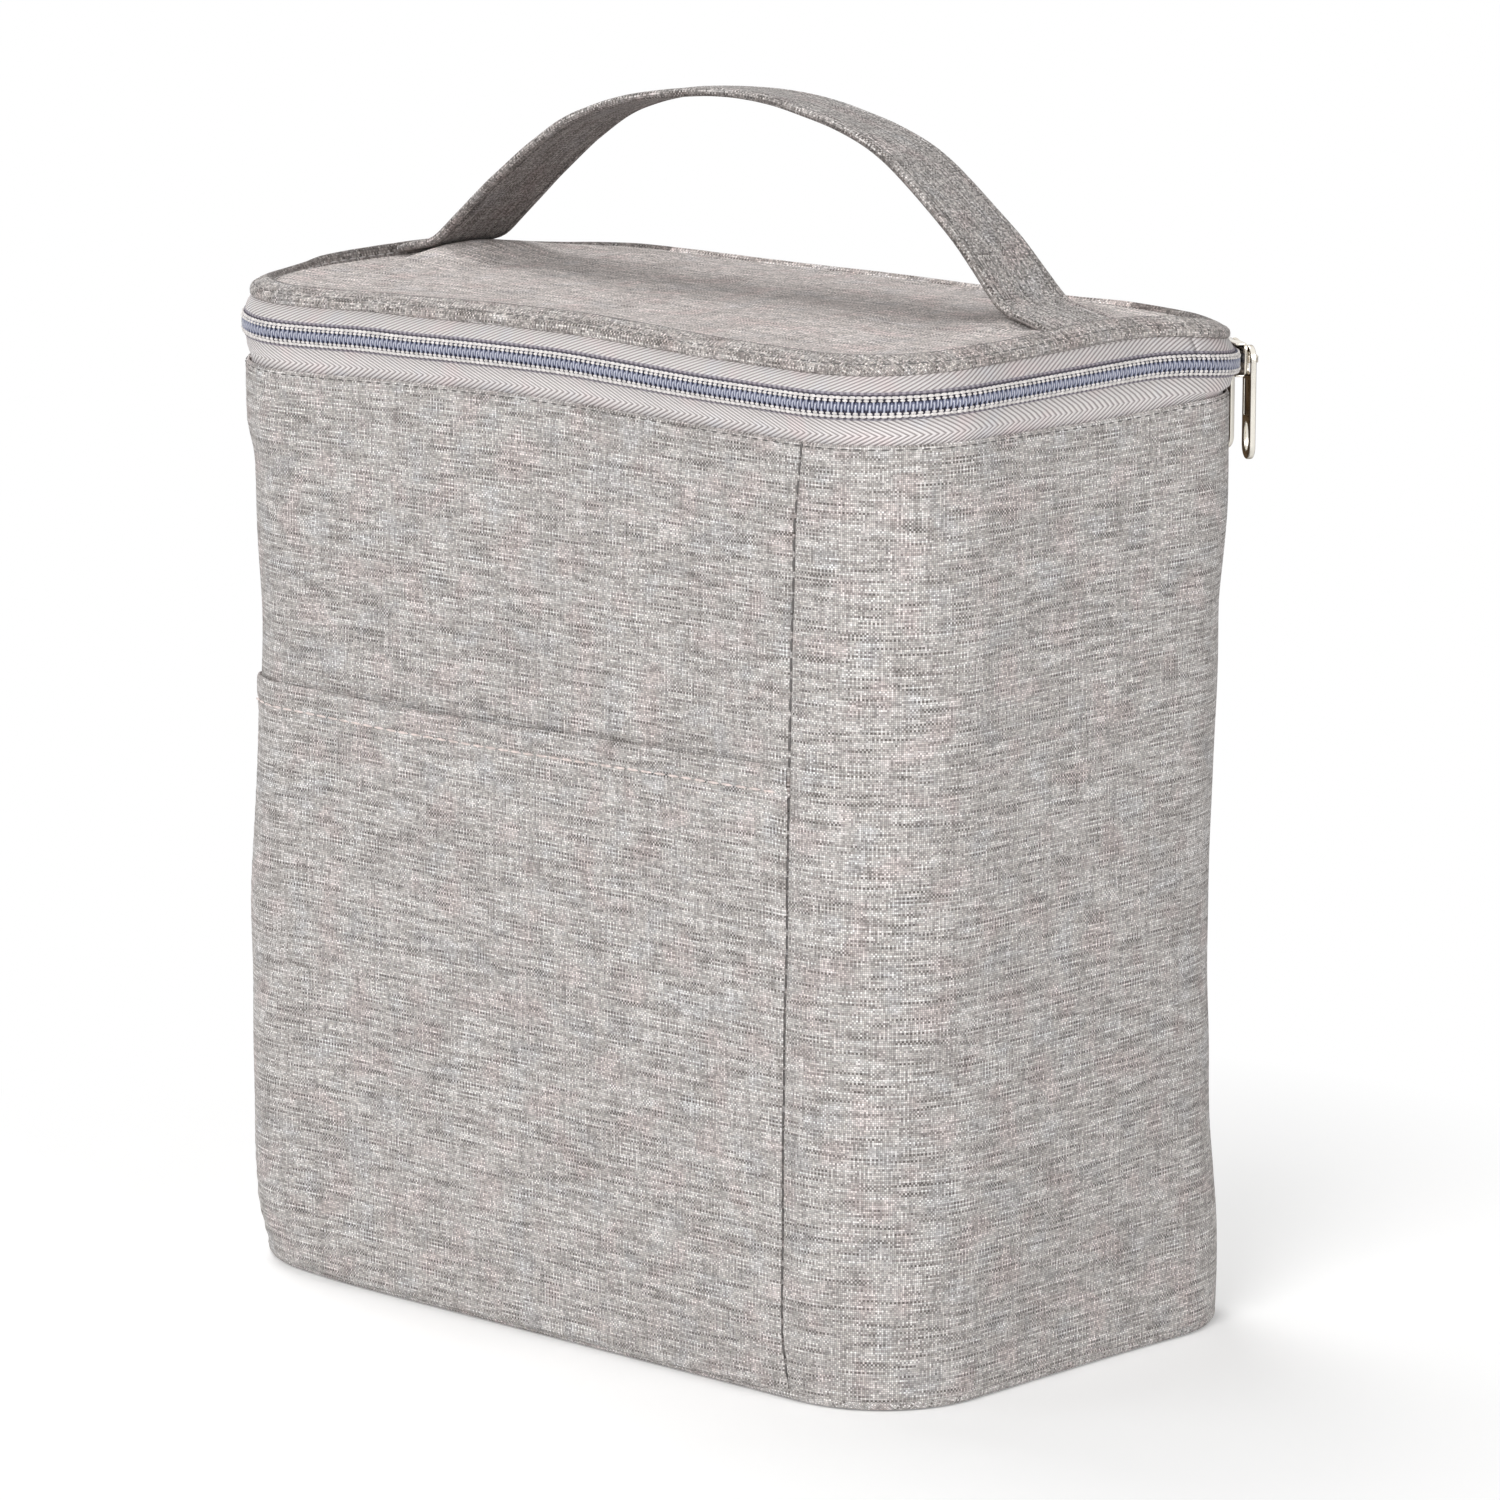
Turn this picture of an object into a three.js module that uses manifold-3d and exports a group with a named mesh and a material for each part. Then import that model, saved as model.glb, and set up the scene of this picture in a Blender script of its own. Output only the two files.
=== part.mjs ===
// An insulated lunch bag: fabric walls over foam, a foil lining, a slip pocket on the front,
// a lid that zips on round three sides, and a carrying strap on the lid.
// Millimetres. X runs along the width, the front faces -Y and Z is up.
// The origin is the middle of the base, on the surface that the bag stands on.
import * as THREE from 'three';
import { mergeVertices } from 'three/addons/utils/BufferGeometryUtils.js';
import Module from 'manifold-3d';

const wasm = await Module();
wasm.setup();

// ---- Driving dimensions -------------------------------------------------------------------

// The bag's outline seen from above, over the outer fabric.
const bodyWidth = 220;
const bodyDepth = 130;
const cornerRadius = 28;

// Heights above the floor.
const zipHeight = 228.4;
const pocketMouthHeight = 144.5;

// The layers of the walls, base and lid, and the space kept between two layers that touch.
const fabric = 0.8;
const foam = 3;
const lining = 0.4;
const gap = 0.3;

// The tape that binds the raw seams inside.
const bindingThickness = 1.2;
const bindingWidth = 8;
const lidBindingWidth = 6;
const lidBindingInset = 5.5;
const lidLiningInset = 4.6;
const lidLiningDrop = 1.4;

// The two seams of the front panel: how far short of the front right corner the right one
// runs, and how far round the front left corner the left one lies, as a share of the corner.
const rightSeamInset = 1.2;
const leftSeamTurn = 0.5;

// The zip: tape, coil, and how much of the tape shows below and above the middle.
const tapeThickness = 0.6;
const tapeShowsBelow = 8.6;
const tapeShowsAbove = 6.2;
const tapeTuckedIn = 6;
const tapeStandsOut = 0.4;
const coilWidth = 6.1;
const coilThickness = 1.6;
const coilSplit = 1.6;
const tapeSlopeStart = 3.3;
const zipBackRun = 10;
const tapeEndMargin = 4;
const stopLength = 1.6;
const stopHeight = 5.2;
const tailStart = 2;
const tailGap = 1;

// The lid: its folded edge lies inside the body's outline.
const lipInset = 1.2;

// The carrying strap: a round arch that sways on its two creases, each above a flat sewn end.
const strapWidth = 25;
const strapThickness = 2;
const strapTop = 287;
const strapCreaseInset = 20;
const strapMiddleY = 6;
const strapEndLength = 12;
const strapEndGap = 0.5;
const strapFootWidth = 1.6;
const strapSwayTurn = 32;
const strapSteps = 24;

// The zip's two sliders stand nose to nose on the rear right corner.
const sliderLength = 11.6;
const sliderPlate = 0.9;
const sliderHeight = 8.6;
const sliderInnerHeight = 6;
const sliderTailHeight = 7.8;
const sliderFlange = 0.9;
const sliderPostLength = 2.8;
const sliderPostHeight = 1;
const sliderTurns = { front: 56, rear: 82 };
const crownFootRadius = 0.85;
const crownFootSpacing = 8;
const crownBar = 1.2;
const crownWidth = 2;

// The sliders' pulls.
const pullLength = 26.5;
const pullWidth = 6.6;
const pullThickness = 1.4;
const pullPlay = 0.8;
const pullHoleWidth = 4;
const pullHoleLength = 4.4;
const pullEyeWidth = 3.4;
const pullEyeLength = 6.8;
const pullEyeMargin = 1.9;

// How finely the round corners are stepped, and how far joined solids reach into each other.
const cornerSteps = 8;
const curveSteps = 8;
const footSides = 12;
const weld = 0.2;

// ---- Levels and layers that follow from the dimensions --------------------------------------

const halfX = bodyWidth / 2 - cornerRadius;
const halfY = bodyDepth / 2 - cornerRadius;

// Distances outward from the outline: negative numbers lie inside it.
const foamOut = -fabric - gap;
const foamIn = foamOut - foam;
const liningOut = foamIn - gap;
const liningIn = liningOut - lining;
const bindingOut = liningIn - gap;
const bindingIn = bindingOut - bindingThickness;

// Heights, from the floor up.
const wallBottom = fabric + gap;
const baseFoamTop = wallBottom + foam;
const liningFloor = baseFoamTop + gap;
const bindingFloor = liningFloor + lining + gap;
const baseBindingTop = bindingFloor + bindingWidth;
const wallTop = zipHeight - tapeShowsBelow;
const wallLayersTop = wallTop - 2 * gap;
const mouthBindingBottom = wallLayersTop - bindingWidth;

// The lid's levels.
const lipHeight = zipHeight + tapeShowsAbove;
const lidLiningBottom = lipHeight - lidLiningDrop;
const lidFoamBottom = lidLiningBottom + lining + gap;
const lidFoamTop = lidFoamBottom + foam;
const lidPanelBottom = lidFoamTop + gap;
const lidTop = lidPanelBottom + fabric;
const lidBindingTop = lidLiningBottom - gap;

// The zip's levels and layers.
const tapeIn = tapeStandsOut - tapeThickness;
const coilIn = tapeStandsOut + gap;
const coilOut = coilIn + coilThickness;
const splitBelow = zipHeight - coilSplit / 2;
const splitAbove = zipHeight + coilSplit / 2;
const coilBottom = zipHeight - coilWidth / 2;
const coilTop = zipHeight + coilWidth / 2;
const tuckedTapeOut = -fabric - gap;
const tuckedTapeIn = tuckedTapeOut - tapeThickness;
const lidTapeOut = -lipInset - fabric - gap;
const lidTapeIn = lidTapeOut - tapeThickness;

// ---- The outline, walked anticlockwise from the middle of the back --------------------------

const cornerLength = cornerRadius * Math.PI / 2;

function straightLeg(x, y, alongX, alongY, length) {
  const at = (s) => ({ x: x + alongX * s, y: y + alongY * s, nx: alongY, ny: -alongX });
  return { length, at, steps: 1 };
}

function cornerLeg(x, y, startTurn) {
  const at = (s) => {
    const turn = startTurn + s / cornerRadius;
    const nx = Math.cos(turn);
    const ny = Math.sin(turn);
    return { x: x + nx * cornerRadius, y: y + ny * cornerRadius, nx, ny };
  };
  return { length: cornerLength, at, steps: cornerSteps };
}

const legs = [
  straightLeg(0, bodyDepth / 2, -1, 0, halfX),
  cornerLeg(-halfX, halfY, Math.PI / 2),
  straightLeg(-bodyWidth / 2, halfY, 0, -1, 2 * halfY),
  cornerLeg(-halfX, -halfY, Math.PI),
  straightLeg(-halfX, -bodyDepth / 2, 1, 0, 2 * halfX),
  cornerLeg(halfX, -halfY, Math.PI * 1.5),
  straightLeg(bodyWidth / 2, -halfY, 0, 1, 2 * halfY),
  cornerLeg(halfX, halfY, 0),
  straightLeg(halfX, bodyDepth / 2, -1, 0, halfX),
];
const outlineLength = legs.reduce((sum, leg) => sum + leg.length, 0);

// How far along the outline each leg begins.
const legStart = [];
legs.reduce((sum, leg) => {
  legStart.push(sum);
  return sum + leg.length;
}, 0);

const leftSeam = legStart[3] + leftSeamTurn * cornerLength;
const rightSeam = legStart[5] - rightSeamInset;
const leftTailEnd = legStart[2] + tailStart;
const rightTailEnd = legStart[7] - tailStart;
const leftZipEnd = legStart[1] - zipBackRun;
const rightZipEnd = legStart[8] + zipBackRun;

// The point and outward direction at a distance along the outline, which may pass the start.
function stationAt(distance) {
  const s = ((distance % outlineLength) + outlineLength) % outlineLength;
  let index = legs.length - 1;
  while (s < legStart[index]) {
    index -= 1;
  }
  return legs[index].at(s - legStart[index]);
}

// The stations from one distance to another: both ends and every corner step between them.
function stationsBetween(from, to) {
  const tiny = 1e-6;
  const distances = [from];
  for (let lap = 0; lap < 2; lap += 1) {
    legs.forEach((leg, index) => {
      for (let step = 0; step < leg.steps; step += 1) {
        const s = lap * outlineLength + legStart[index] + leg.length * step / leg.steps;
        if (s > from + tiny && s < to - tiny) {
          distances.push(s);
        }
      }
    });
  }
  distances.push(to);
  return distances.map(stationAt);
}

// ---- Shapes ----------------------------------------------------------------------------------

// A band that follows the outline: its section is a list of [distance outward, height].
// A band that runs the whole way round closes on itself, and any other gets two flat ends.
function bandAlongOutline(section, from, to) {
  const corners = section.map(([out, height]) => new THREE.Vector2(out, height));
  if (THREE.ShapeUtils.isClockWise(corners)) {
    corners.reverse();
  }
  const stations = stationsBetween(from, to);
  const closed = Math.abs(to - from - outlineLength) < 1e-6;
  if (closed) {
    stations.pop();
  }
  const positions = [];
  for (const { x, y, nx, ny } of stations) {
    for (const corner of corners) {
      positions.push(x + nx * corner.x, y + ny * corner.x, corner.y);
    }
  }
  const count = corners.length;
  const spans = closed ? stations.length : stations.length - 1;
  const indices = [];
  for (let i = 0; i < spans; i += 1) {
    const here = i * count;
    const next = ((i + 1) % stations.length) * count;
    for (let j = 0; j < count; j += 1) {
      const k = (j + 1) % count;
      indices.push(here + j, next + j, next + k);
      indices.push(here + j, next + k, here + k);
    }
  }
  if (!closed) {
    const end = spans * count;
    for (const [a, b, c] of THREE.ShapeUtils.triangulateShape(corners, [])) {
      indices.push(a, b, c);
      indices.push(end + c, end + b, end + a);
    }
  }
  const geometry = new THREE.BufferGeometry();
  geometry.setAttribute('position', new THREE.Float32BufferAttribute(positions, 3));
  geometry.setIndex(indices);
  return geometry;
}

// The section of an upright layer between two distances outward and two heights.
function uprightSection(outer, inner, bottom, top) {
  return [[inner, bottom], [outer, bottom], [outer, top], [inner, top]];
}

function ringAlongOutline(section) {
  return bandAlongOutline(section, 0, outlineLength);
}

// A flat sheet of the outline's shape, its edge at a distance outward.
function slab(out, bottom, top) {
  const stations = stationsBetween(0, outlineLength);
  stations.pop();
  const shape = new THREE.Shape(
    stations.map(({ x, y, nx, ny }) => new THREE.Vector2(x + nx * out, y + ny * out)),
  );
  const geometry = new THREE.ExtrudeGeometry(shape, { depth: top - bottom, bevelEnabled: false });
  return geometry.translate(0, 0, bottom);
}

function toSolid(geometry) {
  const bare = geometry.clone();
  bare.deleteAttribute('normal');
  bare.deleteAttribute('uv');
  const merged = mergeVertices(bare, 1e-4);
  return new wasm.Manifold(new wasm.Mesh({
    numProp: 3,
    vertProperties: new Float32Array(merged.attributes.position.array),
    triVerts: new Uint32Array(merged.index.array),
  }));
}

function toGeometry(solid) {
  const { vertProperties, triVerts } = solid.getMesh();
  const geometry = new THREE.BufferGeometry();
  geometry.setAttribute('position', new THREE.BufferAttribute(vertProperties, 3));
  geometry.setIndex(new THREE.BufferAttribute(triVerts, 1));
  return geometry;
}

function join(geometries) {
  const [first, ...rest] = geometries.map(toSolid);
  return toGeometry(rest.reduce((sum, solid) => sum.add(solid), first));
}

// Turns a flat shape drawn in Y and Z into a plate that stands between two distances along X.
function plateFromShape(shape, fromX, toX, curveSegments = curveSteps) {
  const options = { depth: toX - fromX, bevelEnabled: false, curveSegments };
  const plate = new THREE.ExtrudeGeometry(shape, options);
  plate.applyMatrix4(new THREE.Matrix4().makeBasis(
    new THREE.Vector3(0, 1, 0), new THREE.Vector3(0, 0, 1), new THREE.Vector3(1, 0, 0),
  ));
  return plate.translate(fromX, 0, 0);
}

function box(sizeX, sizeY, sizeZ, x, y, z) {
  return new THREE.BoxGeometry(sizeX, sizeY, sizeZ).translate(x, y, z);
}

// ---- Materials -------------------------------------------------------------------------------

function cloth(name, color, roughness = 0.95) {
  return new THREE.MeshStandardMaterial({ name, color, roughness, metalness: 0 });
}

const greyMelange = cloth('grey_melange', 0xaaa6a5);
const whiteFoam = cloth('foam', 0xe8e8e4);
const foil = new THREE.MeshStandardMaterial({
  name: 'foil_lining', color: 0xc9cbcd, roughness: 0.35, metalness: 0.8,
});
const greyBinding = cloth('seam_binding', 0x8f8d90);
const zipTape = cloth('zip_tape', 0xc4bfc3);
const zipCoil = cloth('zip_coil', 0x6f7690, 0.4);
const nickel = new THREE.MeshStandardMaterial({
  name: 'nickel', color: 0xd6ccba, roughness: 0.25, metalness: 1,
});

function piece(name, geometry, material) {
  const mesh = new THREE.Mesh(geometry, material);
  mesh.name = name;
  return mesh;
}

// ---- The base ----------------------------------------------------------------------------------

function makeBase() {
  const bindingSection = uprightSection(bindingOut, bindingIn, bindingFloor, baseBindingTop);
  return [
    piece('base_panel', slab(0, 0, fabric), greyMelange),
    piece('base_foam', slab(foamOut, wallBottom, baseFoamTop), whiteFoam),
    piece('base_lining', slab(liningOut, liningFloor, liningFloor + lining), foil),
    piece('base_seam_binding', ringAlongOutline(bindingSection), greyBinding),
  ];
}

// ---- The walls: a front and a wrap-round panel meet at two upright seams ------------------------

// The foam is cut thinner along its top edge, where the zip's tape lies over it.
function wallFoamSection() {
  const shoulder = wallTop - tapeTuckedIn - gap;
  return [
    [foamIn, liningFloor],
    [foamOut, liningFloor],
    [foamOut, shoulder],
    [tuckedTapeIn - gap, shoulder],
    [tuckedTapeIn - gap, wallLayersTop],
    [foamIn, wallLayersTop],
  ];
}

function makeWalls() {
  const panelSection = uprightSection(0, -fabric, wallBottom, wallTop);
  const pocketSection = uprightSection(gap + fabric, gap, wallBottom, pocketMouthHeight);
  const liningSection = uprightSection(liningOut, liningIn, bindingFloor, wallLayersTop);
  const spans = {
    front: [leftSeam + gap / 2, rightSeam - gap / 2],
    wrap: [rightSeam + gap / 2, leftSeam + outlineLength - gap / 2],
  };
  const walls = [];
  for (const [name, [from, to]] of Object.entries(spans)) {
    walls.push(piece(`${name}_panel`, bandAlongOutline(panelSection, from, to), greyMelange));
    walls.push(piece(`${name}_foam`, bandAlongOutline(wallFoamSection(), from, to), whiteFoam));
    walls.push(piece(`${name}_lining`, bandAlongOutline(liningSection, from, to), foil));
  }
  walls.push(piece('front_pocket', bandAlongOutline(pocketSection, ...spans.front), greyMelange));
  return walls;
}

// Tape binds the raw seams inside: one strip up each wall seam, and one round the mouth.
function makeWallBindings() {
  const stripSection = uprightSection(
    bindingOut, bindingIn, baseBindingTop + gap, mouthBindingBottom - gap,
  );
  const mouthSection = uprightSection(bindingOut, bindingIn, mouthBindingBottom, wallLayersTop);
  const half = bindingWidth / 2;
  return [
    piece('left_seam_binding',
      bandAlongOutline(stripSection, leftSeam - half, leftSeam + half), greyBinding),
    piece('right_seam_binding',
      bandAlongOutline(stripSection, rightSeam - half, rightSeam + half), greyBinding),
    piece('mouth_binding', ringAlongOutline(mouthSection), greyBinding),
  ];
}

// ---- The zip -----------------------------------------------------------------------------------

// The lower tape comes up from behind the wall's folded edge and bulges out under the coil.
function lowerTapeSection(top) {
  const leaves = wallTop + gap;
  const upright = coilBottom - gap;
  return [
    [tuckedTapeOut, wallTop - tapeTuckedIn],
    [tuckedTapeOut, leaves],
    [tapeStandsOut, upright],
    [tapeStandsOut, top],
    [tapeIn, top],
    [tapeIn, upright + gap / 2],
    [tuckedTapeIn, leaves + gap / 2],
    [tuckedTapeIn, wallTop - tapeTuckedIn],
  ];
}

// The points of the upper tape from the coil up to just below the lid's folded edge.
const tapeSlopeFoot = zipHeight + tapeSlopeStart;
const tapeSlopeTop = lipHeight - gap;

function upperTapeTailSection() {
  const inset = -lipInset + gap;
  return [
    [tapeStandsOut, splitAbove],
    [tapeStandsOut, tapeSlopeFoot],
    [inset, tapeSlopeTop - gap],
    [inset - tapeThickness, tapeSlopeTop - gap - tapeThickness],
    [tapeIn, tapeSlopeFoot - gap],
    [tapeIn, splitAbove],
  ];
}

// The upper tape runs on up behind the lid's turned edge.
function upperTapeSection() {
  return [
    [tapeStandsOut, splitAbove],
    [tapeStandsOut, tapeSlopeFoot],
    [-lipInset + gap, tapeSlopeTop - gap / 2],
    [lidTapeOut, tapeSlopeTop],
    [lidTapeOut, lidFoamTop],
    [lidTapeIn, lidFoamTop],
    [lidTapeIn, tapeSlopeTop - tapeThickness],
    [-lipInset, tapeSlopeTop - tapeThickness - gap / 2],
    [tapeIn, tapeSlopeFoot - gap],
    [tapeIn, splitAbove],
  ];
}

function makeZip() {
  const lowerCoilSection = uprightSection(coilOut, coilIn, coilBottom, splitBelow);
  const upperCoilSection = uprightSection(coilOut, coilIn, splitAbove, coilTop);
  const leftCoilEnd = leftZipEnd + tapeEndMargin + gap;
  const rightCoilEnd = rightZipEnd - tapeEndMargin - gap;
  const upperFrom = leftTailEnd + tailGap;
  const upperTo = rightTailEnd - tailGap;
  const band = bandAlongOutline;
  return [
    piece('zip_tape_lower', band(lowerTapeSection(splitBelow), leftZipEnd, rightZipEnd), zipTape),
    piece('zip_coil_lower', band(lowerCoilSection, leftCoilEnd, rightCoilEnd), zipCoil),
    piece('zip_tape_upper', band(upperTapeSection(), upperFrom, upperTo), zipTape),
    piece('zip_coil_upper', band(upperCoilSection, upperFrom, upperTo), zipCoil),
    piece('zip_tape_tail_left', band(upperTapeTailSection(), leftZipEnd, leftTailEnd), zipTape),
    piece('zip_coil_tail_left', band(upperCoilSection, leftCoilEnd, leftTailEnd), zipCoil),
    piece('zip_tape_tail_right', band(upperTapeTailSection(), rightTailEnd, rightZipEnd), zipTape),
    piece('zip_coil_tail_right', band(upperCoilSection, rightTailEnd, rightCoilEnd), zipCoil),
  ];
}

// A small metal stop closes each end of the coil.
function makeZipStops() {
  const section = uprightSection(
    coilOut, coilIn, zipHeight - stopHeight / 2, zipHeight + stopHeight / 2,
  );
  const leftFrom = leftZipEnd + tapeEndMargin - stopLength;
  const rightFrom = rightZipEnd - tapeEndMargin;
  return [
    piece('zip_stop_left', bandAlongOutline(section, leftFrom, leftFrom + stopLength), nickel),
    piece('zip_stop_right', bandAlongOutline(section, rightFrom, rightFrom + stopLength), nickel),
  ];
}

// ---- The lid -------------------------------------------------------------------------------------

// The strip of fabric that the lid folds on fills the back between the two ends of the zip.
function makeHingeStrip() {
  const section = [
    [tuckedTapeOut, wallTop - tapeTuckedIn],
    [tuckedTapeOut, wallTop + gap],
    [tapeStandsOut, coilBottom - gap],
    ...upperTapeSection().slice(1, -1),
    [tapeIn, coilBottom - gap / 2],
    [tuckedTapeIn, wallTop + gap + gap / 2],
    [tuckedTapeIn, wallTop - tapeTuckedIn],
  ];
  const half = halfX - zipBackRun - gap;
  return piece('hinge_strip', bandAlongOutline(section, -half, half), greyMelange);
}

function makeLid() {
  const lip = ringAlongOutline(
    uprightSection(-lipInset, -lipInset - fabric, lipHeight, lidPanelBottom + weld),
  );
  const top = slab(-lipInset, lidPanelBottom, lidTop);
  const foamEdge = lidTapeIn - gap;
  const bindingSection = uprightSection(
    -lidBindingInset, -lidBindingInset - lidBindingWidth,
    lidBindingTop - bindingThickness, lidBindingTop,
  );
  return [
    piece('lid_panel', join([top, lip]), greyMelange),
    piece('lid_foam', slab(foamEdge, lidFoamBottom, lidFoamTop), whiteFoam),
    piece('lid_lining', slab(-lidLiningInset, lidLiningBottom, lidLiningBottom + lining), foil),
    piece('lid_seam_binding', ringAlongOutline(bindingSection), greyBinding),
  ];
}

// ---- The carrying strap ----------------------------------------------------------------------------

const strapEndBottom = lidTop + gap;
const strapEndTop = strapEndBottom + strapThickness;
const strapFootBottom = strapEndTop + strapEndGap;

// The arch's middle line is an arc of a circle through both creases and the top.
const strapSpan = bodyWidth - 2 * strapCreaseInset;
const archRise = strapTop - strapFootBottom - strapThickness;
const archRadius = (strapSpan ** 2 / 4 + archRise ** 2) / (2 * archRise);
const archTurn = Math.asin(strapSpan / 2 / archRadius);
const archMiddleZ = strapTop - strapThickness / 2 - archRadius;

function makeStrapArch() {
  const rim = (radius, side) => Array.from({ length: strapSteps + 1 }, (_, i) => {
    const angle = side * archTurn * (1 - 2 * i / strapSteps);
    return new THREE.Vector2(radius * Math.sin(angle), archMiddleZ + radius * Math.cos(angle));
  });
  const half = strapThickness / 2;
  const shape = new THREE.Shape([...rim(archRadius + half, 1), ...rim(archRadius - half, -1)]);
  const arch = new THREE.ExtrudeGeometry(shape, { depth: strapWidth, bevelEnabled: false });
  arch.rotateX(Math.PI / 2);
  arch.translate(0, strapMiddleY + strapWidth / 2, 0);

  // Both feet narrow towards the crease, so that the arch clears the lid when it sways.
  const narrow = strapFootWidth / 2;
  const wide = strapWidth / 2 + strapThickness;
  const above = strapTop + strapThickness;
  const slope = Math.tan(THREE.MathUtils.degToRad(strapSwayTurn));
  const high = strapFootBottom + (wide - narrow) * slope;
  const profile = new THREE.Shape([
    new THREE.Vector2(-narrow, strapEndTop),
    new THREE.Vector2(narrow, strapEndTop),
    new THREE.Vector2(narrow, strapFootBottom),
    new THREE.Vector2(wide, high),
    new THREE.Vector2(wide, above),
    new THREE.Vector2(-wide, above),
    new THREE.Vector2(-wide, high),
    new THREE.Vector2(-narrow, strapFootBottom),
  ]);
  const across = strapSpan + 4 * strapThickness;
  const taper = plateFromShape(profile, -across / 2, across / 2).translate(0, strapMiddleY, 0);
  return piece('strap_arch', toGeometry(toSolid(arch).intersect(toSolid(taper))), greyMelange);
}

// The strap's two ends lie flat on the lid, out from under the creases.
function makeStrapEnds() {
  return [['strap_end_left', -1], ['strap_end_right', 1]].map(([name, side]) => {
    const x = side * (strapSpan - strapThickness + strapEndLength) / 2;
    const z = (strapEndBottom + strapEndTop) / 2;
    const end = box(strapEndLength, strapWidth, strapThickness, x, strapMiddleY, z);
    return piece(name, end, greyMelange);
  });
}

// ---- The sliders and their pulls --------------------------------------------------------------------

// In a slider's own frame X points outward from the corner's middle, Y along the zip and Z up.
const plateIn = cornerRadius + coilOut + gap;
const plateOut = plateIn + sliderPlate;
const pullIn = plateOut + pullPlay;
const pullOut = pullIn + pullThickness;
const crownIn = pullOut + pullPlay;
const crownOut = crownIn + crownBar;

// The inner plate clears the tape, which bends round the corner behind a straight slider.
const tapeRadius = cornerRadius + tapeIn;
const bendDepth = tapeRadius - Math.sqrt(tapeRadius ** 2 - (sliderLength / 2) ** 2);
const stepDepth = cornerRadius * (1 - Math.cos(Math.PI / 4 / cornerSteps));
const innerPlateOut = tapeRadius - bendDepth - stepDepth - gap;
const innerPlateIn = innerPlateOut - sliderPlate;
const flangeIn = cornerRadius + coilIn;

// The outer plate is widest at the nose and narrows to the tail.
function sliderPlateShape(nose) {
  const end = nose * sliderLength / 2;
  const wide = sliderHeight / 2;
  const narrow = sliderTailHeight / 2;
  return new THREE.Shape([
    new THREE.Vector2(-end, -narrow),
    new THREE.Vector2(0, -narrow),
    new THREE.Vector2(end / 2, -wide),
    new THREE.Vector2(end, -wide + sliderPlate),
    new THREE.Vector2(end, wide - sliderPlate),
    new THREE.Vector2(end / 2, wide),
    new THREE.Vector2(0, narrow),
    new THREE.Vector2(-end, narrow),
  ]);
}

function crownFoot(y) {
  const length = crownIn - plateOut + 2 * weld;
  const foot = new THREE.CylinderGeometry(crownFootRadius, crownFootRadius, length, footSides);
  foot.rotateZ(Math.PI / 2);
  return foot.translate((crownIn + plateOut) / 2, y, 0);
}

// nose is 1 where the slider's nose points along Y, and -1 where it points back along it.
function sliderBody(nose) {
  const outer = plateFromShape(sliderPlateShape(nose), plateIn, plateOut);
  const inner = box(
    sliderPlate, sliderLength, sliderInnerHeight, (innerPlateIn + innerPlateOut) / 2, 0, 0,
  );
  const postFrom = innerPlateOut - weld;
  const postTo = plateIn + weld;
  const post = box(
    postTo - postFrom, sliderPostLength, sliderPostHeight,
    (postFrom + postTo) / 2, nose * (sliderLength - sliderPostLength) / 2, 0,
  );
  const flangeDepth = plateIn - flangeIn + weld;
  const flanges = [-1, 1].map((side) => box(
    flangeDepth, sliderLength, sliderFlange / 2,
    flangeIn + flangeDepth / 2, 0, side * (sliderTailHeight / 2 - sliderFlange / 4),
  ));
  const half = crownFootSpacing / 2;
  const bar = box(
    crownBar, crownFootSpacing + 2 * crownFootRadius, crownWidth, (crownIn + crownOut) / 2, 0, 0,
  );
  return join([outer, inner, post, ...flanges, crownFoot(half), crownFoot(-half), bar]);
}

// A flat pull hangs round the crown's foot that is nearer the front of the bag. Its top is round about that foot.
function sliderPull() {
  const half = pullWidth / 2;
  const bottom = half - pullLength;
  const shape = new THREE.Shape();
  shape.absarc(0, 0, half, 0, Math.PI, false);
  shape.lineTo(-half, bottom + half);
  shape.absarc(0, bottom + half, half, Math.PI, 2 * Math.PI, false);
  shape.lineTo(half, 0);

  const holeTop = crownFootRadius + gap;
  const hole = new THREE.Path();
  hole.moveTo(-pullHoleWidth / 2, holeTop);
  hole.lineTo(-pullHoleWidth / 2, holeTop - pullHoleLength);
  hole.lineTo(pullHoleWidth / 2, holeTop - pullHoleLength);
  hole.lineTo(pullHoleWidth / 2, holeTop);
  shape.holes.push(hole);

  const eye = new THREE.Path();
  const eyeMiddle = bottom + pullEyeMargin + pullEyeLength / 2;
  eye.absellipse(0, eyeMiddle, pullEyeWidth / 2, pullEyeLength / 2, 0, 2 * Math.PI, true, 0);
  shape.holes.push(eye);

  const plate = plateFromShape(shape, pullIn, pullOut);
  return toGeometry(toSolid(plate.translate(0, -crownFootSpacing / 2, 0)));
}

function makeSlider(name, turn, nose) {
  const slider = new THREE.Group();
  slider.position.set(halfX, halfY, zipHeight);
  slider.rotation.z = THREE.MathUtils.degToRad(turn);
  slider.add(piece(`slider_${name}`, sliderBody(nose), nickel));
  slider.add(piece(`slider_${name}_pull`, sliderPull(), nickel));
  return slider;
}

// ---- The whole bag ------------------------------------------------------------------------------------

const bag = new THREE.Group();
bag.name = 'lunch_bag';
bag.add(
  ...makeBase(),
  ...makeWalls(),
  ...makeWallBindings(),
  ...makeZip(),
  ...makeZipStops(),
  makeHingeStrip(),
  ...makeLid(),
  ...makeStrapEnds(),
  makeStrapArch(),
  makeSlider('front', sliderTurns.front, 1),
  makeSlider('rear', sliderTurns.rear, -1),
);

export default bag;
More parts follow.
